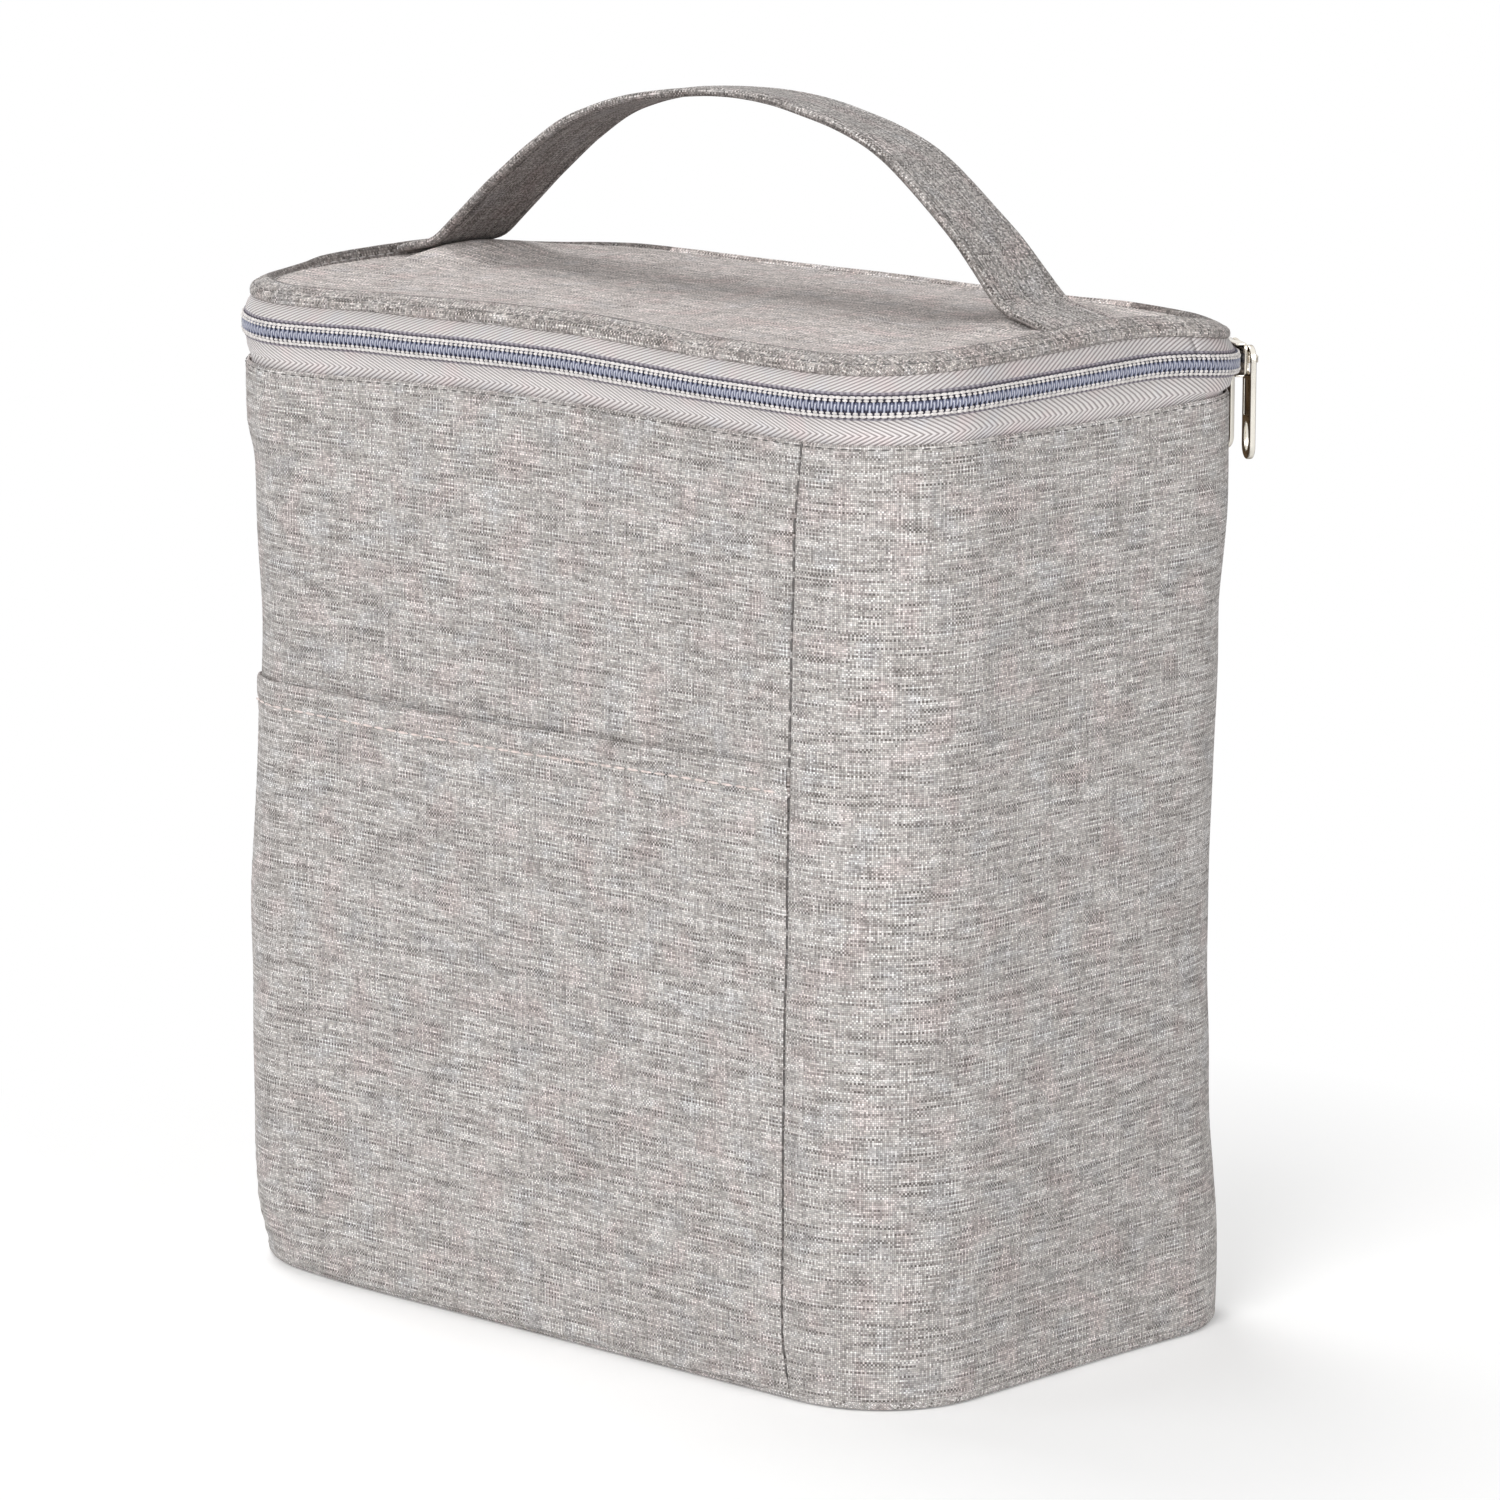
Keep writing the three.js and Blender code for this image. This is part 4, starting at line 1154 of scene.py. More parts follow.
def round_sheet(name, edge_rows, inner_steps, height, materials, thick, stretch=0.003, flip=False,
                u_shift=0.0, move=None, finish=None):
    """A sheet over the whole outline. edge_rows are (out, z) from the rim inwards; from the last
    of them the rows close in on a middle line, and height(x, y, share, s) adds to their z. move gives
    what each edge row is shifted outwards and up, finish(s, row) which of the materials it has."""
    move = move or (lambda s, out, z: (0.0, 0.0))
    s = even_stations(stretch)
    rows, uvs = [], []
    rim = np.array(edge_rows, float)
    lengths = np.concatenate([np.cumsum(np.linalg.norm(np.diff(rim, axis=0), axis=1)[::-1])[::-1], [0]])
    last_out = rim[-1, 0] + move(s, *rim[-1])[0]
    last_x, last_y = outline(s, last_out)
    far_x, far_y = outline(s, last_out + 0.01)
    away = np.stack([far_x - last_x, far_y - last_y], -1) / 0.01
    for (out, z), length in zip(rim, lengths):
        more_out, more_up = move(s, out, z)
        x, y = outline(s, out + more_out)
        rows.append(np.stack([x, y, z + more_up + height(x, y, 0.0, s)], -1))
        uvs.append(np.stack([last_x, last_y], -1) + away * length)
    middle_x = np.clip(last_x, -SPINE, SPINE)
    for share in np.linspace(0, 1, inner_steps + 1)[1:]:
        x, y = last_x + share * (middle_x - last_x), last_y * (1 - share)
        rows.append(np.stack([x, y, rim[-1, 1] + height(x, y, share, s)], -1))
        uvs.append(np.stack([x, y], -1))
    points, uvs = np.stack(rows, 1), np.stack(uvs, 1) + np.array([u_shift, 0])
    if flip:
        points, uvs = points[::-1], uvs[::-1]
    count = points.shape[1]
    faces = grid_faces(len(s), count)
    numbers = finish(s[faces[:, 0] // count], faces[:, 0] % count) if finish else None
    corner_uvs = uvs.reshape(-1, 2)[faces.ravel()]
    piece = mesh_piece(name, points.reshape(-1, 3), faces, corner_uvs, materials, numbers)
    return thicken(clean(piece, 2e-6, turn_outwards=False), thick)


def base_height(x, y, share, s):
    return 0.00012 * (1 + small_waves(x * 1.3, y * 1.3)) * (share > 0.02)


def with_foot(s, out, z):
    """Moves a sheet's rim with the foot of the wall."""
    return foot_tuck(s), 0.0


base_cloth = round_sheet(
    "base_cloth",
    [(-0.0010, 0.0026), (-0.0004, 0.0025), (-0.00005, 0.0019), (-0.0001, 0.0011), (-0.0006, 0.0004),
     (-0.0015, 0.00008), (-0.004, 0.0), (-0.007, 0.0)],
    18, base_height, [melange], CLOTH_THICK, flip=True, u_shift=1.9, move=with_foot,
)
wear(base_cloth, "bag", "base_panel")
print("base faces:", faces_in(base_cloth))

# %% [markdown]
# ## Inside: foam, foil and bindings
#
# Between cloth and lining lies 3 mm of white foam, which keeps food cold and makes the bag stand up.
# Foam is a padded piece. It takes the same swell as the wall, with soft round edges, and a slight
# puffiness of its own. It shows only if a seam gapes, so it needs no more than that.

# %% Pad the wall, the base and the lid
def pad(piece, body, node):
    """Say what a foam piece rides on and what it stands for."""
    wear(piece, body, node)
    return piece


def padded_wall(name, start, end, node):
    """Foam between two places on the outline, from the base to the mouth."""
    heights = np.concatenate([[0.0050], np.arange(0.010, 0.206, 0.009), [0.2112, 0.2126]])
    outer = [(-0.00115 - 0.0001 * math.sin(z * 160), z) for z in heights]
    outer += [(-0.0019, 0.2137), (-0.0023, 0.2180), (-0.0027, 0.2191)]
    inner = [(-0.0036, 0.2191), (-0.0040, 0.2180)]
    inner += [(-0.00402 + 0.0001 * math.sin(z * 130), z) for z in heights[::-1]]
    foot = [(-0.0034, 0.0044), (-0.0018, 0.0044)]
    piece = band_of(name, stations(start, end, 0.006, 0.004), outer + inner + foot, [foam])
    return pad(piece, "bag", node)


front_padding = padded_wall("front_padding", LEFT_SEAM + 0.0012, 0.0762, "front_foam")
wrap_padding = padded_wall("wrap_padding", 0.0838, AROUND + LEFT_SEAM - 0.0012, "wrap_foam")


def flat_padding(name, out, low, high, height, body, node, move=None):
    """Foam over the whole outline, with rounded rims: one sheet made thick."""
    rim = [(out - 0.0012, low + 0.0001), (out - 0.0002, low + 0.0008), (out, (low + high) / 2),
           (out - 0.0003, high - 0.0006), (out - 0.0014, high), (out - 0.006, high)]
    piece = round_sheet(name, rim, 12, height, [foam], high - low - 0.0002, stretch=0.006, move=move)
    return pad(piece, body, node)


def flat_height(x, y, share, s):
    return 0.0001 * small_waves(x, y)


base_padding = flat_padding(
    "base_padding", -0.0014, 0.0011, 0.0041, flat_height, "bag", "base_foam", move=with_foot,
)
print("padding:", front_padding.name, wrap_padding.name, base_padding.name)

# %% [markdown]
# The lining is a silver foil film. Film doesn't drape, it creases, so its sheets get a fine crumple of
# folded facets. Folded noise gives that: the absolute value of a wave has a sharp valley where the
# wave crosses zero.

# %% Line the bag with foil
FOIL_THICK, FOIL_OUT = 0.00028, -0.00476


def crumple(u, v):
    """Sharp small creases, from -1 to 1 or so."""
    total = 0
    for wave, direction, phase in WAVES[:12]:
        along = u * math.cos(direction) + v * math.sin(direction)
        total = total + np.abs(np.sin(0.5 * wave * 1.9 * along + phase)) - 0.6
    return total / 4


def wall_lining(name, start, end, node):
    s = stations(start, end, 0.0032, 0.0024)[::-1]
    z = np.concatenate([[0.0051, 0.0056], np.arange(0.008, 0.2175, 0.0033), [0.2187, 0.2192]])
    rolled = np.zeros(len(z))
    rolled[0], rolled[-1] = 0.00012, 0.00012
    grid_s, grid_z = s[:, None], z[None, :]
    held = smooth_step(grid_z, 0.006, 0.02) * (1 - smooth_step(grid_z, 0.20, 0.216))
    ends = smooth_step(np.minimum(grid_s - start, end - grid_s), 0, 0.006)
    out = FOIL_OUT + rolled[None, :] - 0.00013 * held * ends * (0.6 + crumple(grid_s, grid_z))
    piece = sheet_of(name, place(grid_s, out, grid_z), grid_s, grid_z, foil, FOIL_THICK)
    return wear(piece, "bag", node)


front_foil = wall_lining("front_foil", LEFT_SEAM + 0.0006, 0.0782, "front_lining")
wrap_foil = wall_lining("wrap_foil", 0.0796, AROUND + LEFT_SEAM - 0.0006, "wrap_lining")


def foil_height(x, y, share, s):
    return 0.00013 * (crumple(x, y) + 0.4) * smooth_step(share, 0.0, 0.15)


base_foil = round_sheet(
    "base_foil", [(-0.0050, 0.0047), (-0.0052, 0.0048), (-0.009, 0.0048), (-0.012, 0.0048)],
    30, foil_height, [foil], 0.0003, stretch=0.0032, move=lambda s, out, z: (0.85 * foot_tuck(s), 0.0),
)
wear(base_foil, "bag", "base_lining")
print("foil faces:", faces_in(front_foil), faces_in(wrap_foil), faces_in(base_foil))

# %% [markdown]
# Raw edges inside are covered by a woven binding tape: a ring round the base, a ring round the mouth
# and one upright strip on each seam. A tape is a band with rounded edges and a stitch line near its
# edge, swept along the outline. The strips are short bands that are tall instead of long.

# %% Bind the inner seams
BINDING_IN, BINDING_OUT = -0.0062, -0.00515


def tape_section(inner, outer, low, high):
    """A tape's cross-section: inner and outer are its faces' offsets, low and high its edges."""
    r = 0.00035
    groove = (high - low) * 0.18
    return [
        (outer, low + r), (outer, high - r), (outer - r, high), (inner + r, high), (inner, high - r),
        (inner, high - groove + 0.0004), (inner + 0.00025, high - groove), (inner, high - groove - 0.0004),
        (inner, low + groove + 0.0004), (inner + 0.00025, low + groove), (inner, low + groove - 0.0004),
        (inner, low + r), (inner + r, low), (outer - r, low),
    ]


ring_s = stations(0, AROUND, 0.004, 0.002)


def binding_ring(name, low, high, node):
    """A ring of binding tape round the inside, between two heights."""
    piece = band_of(name, ring_s, tape_section(BINDING_IN, BINDING_OUT, low, high), [binding_tape], ring=True)
    return wear(piece, "bag", node)


base_ring = binding_ring("base_binding_ring", 0.0052, 0.0130, "base_seam_binding")
mouth_ring = binding_ring("mouth_binding_ring", 0.2113, 0.2191, "mouth_binding")


def seam_strip(name, middle, node):
    """An upright strip over a seam, between the two binding rings."""
    half = np.array([
        (0.0040, 0.0005), (0.0038, 0.00015), (0.0032, 0), (0.0027, 0), (0.0024, 0.00022), (0.0020, 0),
    ])
    across, sunk = np.vstack([half, [(0, -0.00005)], half[::-1] * (-1, 1)]).T[:, :, None]
    z = np.concatenate([[0.01345], np.arange(0.015, 0.2095, 0.003), [0.21085]])
    s, z = middle + across, z[None, :]
    piece = sheet_of(name, place(s, -0.0061 + sunk, z), s, z, binding_tape, 0.0008)
    return wear(piece, "bag", node)


right_strip = seam_strip("right_binding_strip", RIGHT_SEAM_MIDDLE, "right_seam_binding")
left_strip = seam_strip("left_binding_strip", LEFT_SEAM, "left_seam_binding")
print("bindings:", base_ring.name, mouth_ring.name, right_strip.name, left_strip.name)

# %% [markdown]
# ## The zip
#
# A coil zip is two nylon wires, each wound into a flat spiral and sewn to the edge of a tape. The
# loops of one spiral fit between the loops of the other. Its pitch is 1.5 mm, so each side has some
# 340 loops.
#
# The lower tape runs out of the top of the wall and leans outwards to the coil. The upper tape leans
# back in under the lid. Two lines of dark violet yarn are woven in next to the coil.
#
# The upper half is in three parts. The long one lifts with the lid. The two tails past the rear
# corners stay on the bag, because a zip doesn't open all the way to its ends.

# %% Weave the tapes
ZIP_MIDDLE = 0.2284
ZIP_END = BACK_MIDDLE - 0.072
LID_ZIP = RIGHT_REAR - 0.0021
TAPE_LINE = [(0.00045, 0.00238), (0.00070, 0.0025), (0.00076, 0.00274), (0.00068, 0.0030), (0.00040, 0.0031)]
# Each tape's cross-section, from the bottom of its outer face; DOWN and UP are the violet lines.
DOWN = [(out, ZIP_MIDDLE - far) for out, far in TAPE_LINE[::-1]]
LOWER_TAPE = [
    (-0.00105, 0.2142), (-0.00115, 0.2170), (-0.00145, 0.2190), (-0.00155, 0.2198), (-0.00120, 0.2208),
    (-0.00040, 0.2228), *DOWN, (0.00045, 0.2270), (0.00045, 0.2276),
    (-0.00005, 0.2276), (-0.00005, 0.2252), (-0.00060, 0.2235), (-0.00115, 0.2220), (-0.00165, 0.2207),
    (-0.00195, 0.2190), (-0.00155, 0.2142),
]
LOWER_ROWS = [0] * 6 + [1] * 4 + [0] * 10
UP = [(out, ZIP_MIDDLE + far) for out, far in TAPE_LINE]
UPPER_TAPE = [
    (0.00045, 0.2292), (0.00045, 0.2300), *UP, (0.00015, 0.2321), (-0.00060, 0.2333), (-0.00140, 0.2343),
    (-0.00200, 0.2350), (-0.00225, 0.2353), (-0.00235, 0.2356),
    (-0.00275, 0.2356), (-0.00270, 0.2351), (-0.00210, 0.2344), (-0.00110, 0.2334), (-0.00040, 0.2322),
    (-0.00010, 0.2312), (-0.00005, 0.2292),
]
UPPER_ROWS = [0] * 2 + [1] * 4 + [0] * 14
FINE = (0.0022, 0.0016)
tape_finishes = [herringbone, violet_line]
# the upper tape's herringbone is painted darker, a painted shade
upper_tape_painted_shade_finishes = [upper_tape_painted_shade, violet_line]
lower_zip_tape = band_of(
    "lower_zip_tape", stations(-ZIP_END, ZIP_END, *FINE), LOWER_TAPE, tape_finishes,
    row_material=LOWER_ROWS, v_start=0.0007,
)
wear(lower_zip_tape, "bag", "zip_tape_lower")


def upper_part(name, start, end, body, node):
    """One stretch of the upper tape."""
    tape = band_of(
        name, stations(start, end, *FINE), UPPER_TAPE, upper_tape_painted_shade_finishes,
        row_material=UPPER_ROWS, v_start=0.0018,
    )
    return wear(tape, body, node)


upper_part("upper_zip_tape", -LID_ZIP, LID_ZIP, "lid", "zip_tape_upper")
upper_part("upper_tape_tail_right", LID_ZIP + 0.00005, ZIP_END, "bag", "zip_tape_tail_right")
upper_part("upper_tape_tail_left", -ZIP_END, -LID_ZIP - 0.00005, "bag", "zip_tape_tail_left")
print("zip tape:", round(2 * ZIP_END * 1000), "mm along the coil")

# %% [markdown]
# One loop of the coil is grown from a six-sided ring. The ring is extruded, moved and turned along
# the wire: out from under the stitches, across the middle, over the rounded head, and back behind.
# The head is squeezed a little wider, as the real wire is stamped there so that it can lock.

# %% Model one loop of the coil
def grow_wire(name, path, radius, widths):
    """Extrude a six-sided ring through the points of path; widths scale each ring along X."""
    bpy.ops.object.select_all(action="DESELECT")
    bpy.ops.mesh.primitive_circle_add(
        vertices=6, radius=radius, fill_type="NGON", rotation=(math.pi / 2, 0, 0),
    )
    wire = bpy.context.object
    wire.name = name
    bpy.ops.object.transform_apply(location=False, rotation=True, scale=True)
    start_editing(wire)
    bpy.ops.transform.translate(value=path[0])
    path = [Vector(point) for point in path]
    for number in range(1, len(path)):
        step = path[number] - path[number - 1]
        bpy.ops.mesh.extrude_region_move(TRANSFORM_OT_translate={"value": step})
        before = (path[number] - path[number - 1]).normalized()
        after = (path[number + 1] - path[number]).normalized() if number + 1 < len(path) else before
        last = (path[number - 1] - path[number - 2]).normalized() if number > 1 else Vector((0, 1, 0))
        facing = ((before + last) if number > 1 else Vector((0, 1, 0))).normalized()
        wanted = (before + after).normalized()
        turn = math.atan2(wanted.z, wanted.y) - math.atan2(facing.z, facing.y)
        if abs(turn) > 1e-5:
            bpy.ops.transform.rotate(value=-turn, orient_axis="X", center_override=path[number])
        squeeze = widths[number] / widths[number - 1]
        bpy.ops.transform.resize(value=(squeeze, 1, 1), center_override=path[number])
    stop_editing()
    return clean(wire, 1e-7)


PITCH = 0.0015
loop = grow_wire(
    "coil_loop",
    [(-0.00010, -0.0023, 0.00120), (-0.00008, -0.0013, 0.00158), (-0.00002, -0.0002, 0.00164),
     (0.00004, 0.00040, 0.00158), (0.00008, 0.00072, 0.00128), (0.00008, 0.00074, 0.00098),
     (0.00006, 0.00045, 0.00076), (0.0, -0.0014, 0.00074)],
    0.00036, [1.0, 0.95, 1.1, 1.3, 1.3, 1.2, 1.0, 1.0],
)
inner_bead = bead("coil_inner_bead", 0.00120, 0.00062, 0.00054)
outer_bead = bead("coil_outer_bead", 0.00165, 0.00085, 0.00060)
print("one loop:", faces_in(loop), "triangles; one bead:", faces_in(inner_bead))

# %% [markdown]
# The loops are set every 1.5 mm along the tape, upright on the outline. The upper half is the same
# loop turned half way round and moved half a pitch, so the heads interlock. Two rows of cream thread
# hold the loops down, with one bead of thread per loop and a tiny dark gap between beads. Inside each
# half lies a core cord, which the wire is wound around; it is painted near black, a painted shade for
# the holes between the loops.

# %% Set the coil, its threads and its core
def zip_row(start, end, shift):
    first = math.ceil((start - shift) / PITCH) * PITCH + shift
    return np.arange(first, end, PITCH)


def zip_frames(s, up, out, upside_down=False):
    """Frames on the zip line: X along, Y up, Z out; up and out are distances from the line."""
    base = place(s, 0.0, ZIP_MIDDLE)
    up = np.broadcast_to(up, s.shape)
    x_on, y_on = outline(s, 0.01)
    x_at, y_at = outline(s, 0.0)
    x_past, y_past = outline(s + 0.0005, 0.0)
    x_back, y_back = outline(s - 0.0005, 0.0)
    over = Matrix.Rotation(math.pi, 4, "Z") if upside_down else Matrix.Identity(4)
    frames = []
    for n in range(len(s)):
        z_axis = Vector((x_on[n] - x_at[n], y_on[n] - y_at[n], 0)).normalized()
        x_axis = Vector((x_past[n] - x_back[n], y_past[n] - y_back[n], 0)).normalized()
        turn = Matrix((x_axis, z_axis.cross(x_axis), z_axis)).transposed().to_4x4()
        frames.append(Matrix.Translation(base[n]) @ turn @ Matrix.Translation((0, up[n], out)) @ over)
    return frames


def parting(s):
    """How far each half stands off the middle between the two sliders' posts."""
    return 0.00055 * (1 - smooth_step(np.abs(near(s, 0.2338)), 0.0022, 0.0036))


# For each row of thread: its bead, how far it is above or below the middle, and how far out.
THREAD_ROWS = {"inner": (inner_bead, 0.00142, 0.00186), "outer": (outer_bead, 0.00205, 0.00160)}


def coil_half(name, start, end, upper, body, node, margin):
    """The loops, threads and core of one half of the zip between two places."""
    up = 1 if upper else -1
    s = zip_row(start + margin, end - margin, PITCH / 2 if upper else 0.0)
    teeth = lay_copies(f"{name}_loops", loop, zip_frames(s, up * parting(s), 0, upper), [coil_wire])
    wear(teeth, body, node)
    for row, (bead_shape, high, out) in THREAD_ROWS.items():
        frames = zip_frames(s, up * (high + parting(s)), out)
        wear(lay_copies(f"{name}_{row}_threads", bead_shape, frames, [cream_thread]), body)
    low, high = (0.0006, 0.0024) if upper else (-0.0024, -0.0006)
    low, high = ZIP_MIDDLE + low, ZIP_MIDDLE + high
    section = [
        (0.00105, low + 0.0002), (0.00115, (low + high) / 2), (0.00105, high - 0.0002), (0.00085, high),
        (0.00052, high), (0.00050, (low + high) / 2), (0.00052, low), (0.00085, low),
    ]
    core = band_of(f"{name}_core", stations(start + margin, end - margin, *FINE), section, [coil_core_painted_shade])
    wear(core, body)
    return teeth


TAIL_END = ZIP_END - 0.004
lower_coil = coil_half("lower_coil", -ZIP_END, ZIP_END, False, "bag", "zip_coil_lower", 0.004)
upper_coil = coil_half("upper_coil", -LID_ZIP, LID_ZIP, True, "lid", "zip_coil_upper", 0.0)
coil_half("right_coil_tail", LID_ZIP, TAIL_END, True, "bag", "zip_coil_tail_right", 0.0001)
coil_half("left_coil_tail", -TAIL_END, -LID_ZIP, True, "bag", "zip_coil_tail_left", 0.0001)
throw_away(loop, inner_bead, outer_bead)
print("coil triangles:", faces_in(lower_coil) + faces_in(upper_coil))

# %% [markdown]
# A bent metal clip stops the coil at each end, on the back. It starts as a block that is inset and
# dented on its face and bevelled all round, and is then set on the outline.

# %% Clip the ends of the zip
def local_block(name, low, high, bevel):
    """A block between two corners, with all its edges bevelled."""
    low, high = Vector(low), Vector(high)
    bpy.ops.object.select_all(action="DESELECT")
    bpy.ops.mesh.primitive_cube_add(size=1, location=(low + high) / 2, scale=high - low)
    piece = bpy.context.object
    piece.name = name
    bpy.ops.object.transform_apply(location=True, rotation=True, scale=True)
    start_editing(piece)
    bpy.ops.mesh.bevel(offset=bevel, segments=2, affect="EDGES")
    stop_editing()
    return piece


def set_in_place(piece, matrix, material, angle):
    """Move a finished shape by a matrix, give it its material and smooth it, angle by angle."""
    piece.data.transform(matrix)
    piece.data.materials.clear()
    piece.data.materials.append(material)
    select_only(piece)
    bpy.ops.object.shade_smooth_by_angle(angle=math.radians(angle))
    return piece


CLIP_FROM_END = 0.0024
for side, at in (("left", -ZIP_END + CLIP_FROM_END), ("right", ZIP_END - CLIP_FROM_END)):
    clip = local_block(f"zip_clip_{side}", (-0.0008, -0.0026, 0.0001), (0.0008, 0.0026, 0.0021), 0.0003)
    bpy.ops.object.mode_set(mode="EDIT")
    mesh = bmesh.from_edit_mesh(clip.data)
    for face in mesh.faces:
        face.select_set(face.normal.z > 0.99)
    bmesh.update_edit_mesh(clip.data)
    bpy.ops.mesh.inset(thickness=0.0002, depth=0.0)
    bpy.ops.transform.translate(value=(0, 0, -0.00025))
    stop_editing()
    set_in_place(clip, zip_frames(np.array([at]), 0, 0)[0], nickel, 40)
    wear(clip, "bag", f"zip_stop_{side}")
print("clips at", round((ZIP_END - CLIP_FROM_END) * 1000, 1), "mm along")

# %% [markdown]
# ## The lid
#
# The lid is padded like the wall. Its cloth turns over the rim in a small lip, climbs to a ridge 6 mm
# in, dips at the topstitches, and then lies softly puffed over the foam. It is one sheet over the
# whole outline, with a height that is a function of place: the puff, a few slow dents, and the dip of
# the stitch line.

# %% Shape the lid's height
def lid_swell(x, y):
    """How much the lid rises over its flat level; a little higher at the back left."""
    puff = 0.0011 * (1 - smooth_step(np.abs(x), 0.05, 0.09)) * (1 - smooth_step(np.abs(y), 0.02, 0.055))
    left = 0.0009 * hump(x, -0.062, 0.035) * hump(y, 0.035, 0.04)
    right = -0.0009 * hump(x, 0.05, 0.05) * hump(y, 0.06, 0.03)
    return puff + left + right


def strap_mound(x, y):
    """The pull of the strap's ends lifts the lid into a low mound under each of them."""
    right = 0.0028 * hump(x, 0.087, 0.013) * hump(y, 0.010, 0.021)
    return right + 0.0040 * hump(x, -0.089, 0.015) * hump(y, 0.004, 0.024)


RIDGE_HEIGHTS = [
    (-104, 0), (-60, 0.1), (-10, 0.45), (40, 0.1), (90, 0), (210, 0), (220, -0.3), (240, -0.6),
    (250, -1.0), (260, -1.3), (270, -2.0), (430, -1.8), (441, -1.6), (450, -0.9), (460, 0.3), (470, 1.5),
    (480, 2.2), (495, 2.1), (512, 1.75), (521, 1.0), (530, -0.3), (540, -0.4), (548, 0),
]
HINGE_HALF = 0.0717


def lip_lift(s):
    """The lip follows the zip below it, and hangs a little lower by the sliders."""
    return zip_lift(s) * 0.9 - 0.0011 * close_to(s, 0.226, 0.022) + 0.0005 * close_to(s, 0.168, 0.018)


def ridge(s):
    """The ridge above the lip: low along the back, standing up in a sharp fold on the left."""
    return along_heights(s, RIDGE_HEIGHTS) + 0.0002 * np.sin(s * 61) * np.sin(s * 23 + 1)


def rim_move(s, out, z):
    """How far a row of the rim shifts out and up, beyond what lid_height gives."""
    flare = 1.4 * ZIP_FLARE * by_sliders(s) + 0.0014 * close_to(s, LEFT_CORNER, 0.03)
    flare = flare * (1 - smooth_step(-out, 0.006, 0.014))
    folded = 0.0022 * smooth_step(ridge(s), 0.0003, 0.0015) * smooth_step(-out, 0.0030, 0.0045)
    flare = flare + folded * (1 - smooth_step(-out, 0.0075, 0.0125))
    on_ridge = smooth_step(z, 0.2350, 0.2385) if out > -0.0062 else 1 - smooth_step(-out, 0.0062, 0.0082)
    kept_low = (on_ridge - 1) if out > -0.0062 else 0.0
    return flare, np.maximum(0, ridge(s)) * on_ridge + np.minimum(0, ridge(s)) * kept_low


def lid_height(x, y, share, s):
    lift = lip_lift(s) + np.minimum(0, ridge(s))
    rise = smooth_step(share, 0.0, 0.3)
    dents = 0.00055 * small_waves(x * 1.25, y * 1.25)
    mound = strap_mound(x, y) * smooth_step(share, 0.0, 0.12)
    return lift * (1 - rise) + rise * (lid_swell(x, y) + dents) + 0.0001 * small_waves(x * 4, y * 4) + mound


LID_RIM = [
    (-0.0026, 0.2359), (-0.0022, 0.2351), (-0.0017, 0.23475), (-0.00125, 0.2351), (-0.0012, 0.2358),
    (-0.0014, 0.2366), (-0.0018, 0.2371), (-0.00225, 0.23725), (-0.0026, 0.2376), (-0.0034, 0.2381),
    (-0.0045, 0.23865), (-0.0053, 0.23893), (-0.0060, 0.23895), (-0.0065, 0.2384), (-0.0069, 0.2378),
    (-0.0074, 0.2376), (-0.0081, 0.2381), (-0.0092, 0.2385), (-0.0112, 0.2384), (-0.0140, 0.2383),
]


def lid_finish(s, row):
    """Which melange: the rolled lip is painted darker and its dip darker still, as painted shade, but not
    over the hinge.
    """
    lip_painted_shade_mask = np.where(row < 11, 1, np.where(row < 15, 2, 0))
    return np.where(np.abs(near(s, BACK_MIDDLE)) < HINGE_HALF, 0, lip_painted_shade_mask)


lid_cloth = round_sheet(
    "lid_cloth", LID_RIM, 34, lid_height, [lid_painted_light_melange, lip_painted_shade_melange, crease_painted_shade_melange], CLOTH_THICK,
    stretch=0.0028, u_shift=3.1, move=rim_move, finish=lid_finish,
)
wear(lid_cloth, "lid", "lid_panel")
print("lid cloth faces:", faces_in(lid_cloth))

# %% [markdown]
# The topstitch sits down in the dip, pale against the grey. A second, dark row holds the lip, as far
# as the zip runs. Both rows follow the same height function as the cloth, so no stitch floats or
# drowns.

# %% Topstitch the lid
TOP_STITCH, LIP_STITCH = (0.0024, 0.00042, 0.00036), (0.0020, 0.00045, 0.00040)


def on_rim(s, out, z):
    """Points on the rim's cloth, and how far it is shifted outwards there."""
    more_out, more_up = rim_move(s, out, z)
    x, y = outline(s, out + more_out)
    return np.stack([x, y, z + more_up + lid_height(x, y, 0.0, s)], -1), more_out


s = np.arange(0, AROUND - 0.001, ROW_STEP)
points, _ = on_rim(s, -0.0071, 0.23777)
upwards = np.tile((0, 0, 1.0), (len(s), 1))
wear(sew("lid_topstitches", TOP_STITCH, frames_along(points, upwards), grey_thread), "lid")
print("topstitches:", len(s))

s = s[np.abs(near(s, 0)) < LID_ZIP]
points, more_out = on_rim(s, -0.00222, 0.23722)
out_x, out_y = outline(s, 0.01 + more_out)
outwards = np.stack([out_x - points[:, 0], out_y - points[:, 1], np.full(len(s), 0.008)], -1)
lip_stitches = sew("lid_lip_stitches", LIP_STITCH, frames_along(points, outwards), dark_thread_partly_painted_shade)
wear(lip_stitches, "lid")
print("lip stitches:", len(s))

# %% [markdown]
# Under the cloth come the foam, the foil and a binding tape that rings the foil. The foam follows the
# lid's slow swell, a little below the cloth.

# %% Pad, line and bind the lid
def under_rim(s):
    """How far the layers under the cloth are held down where its rim is low."""
    return np.maximum(-0.0028, np.minimum(0, lip_lift(s) + np.minimum(0, ridge(s))))


def lid_foam_height(x, y, share, s):
    rise = smooth_step(share, 0.1, 0.42)
    return under_rim(s) * (1 - rise) + np.minimum(0, lid_swell(x, y)) * rise


lid_padding = flat_padding("lid_padding", -0.0036, 0.2339, 0.2366, lid_foam_height, "lid", "lid_foam")


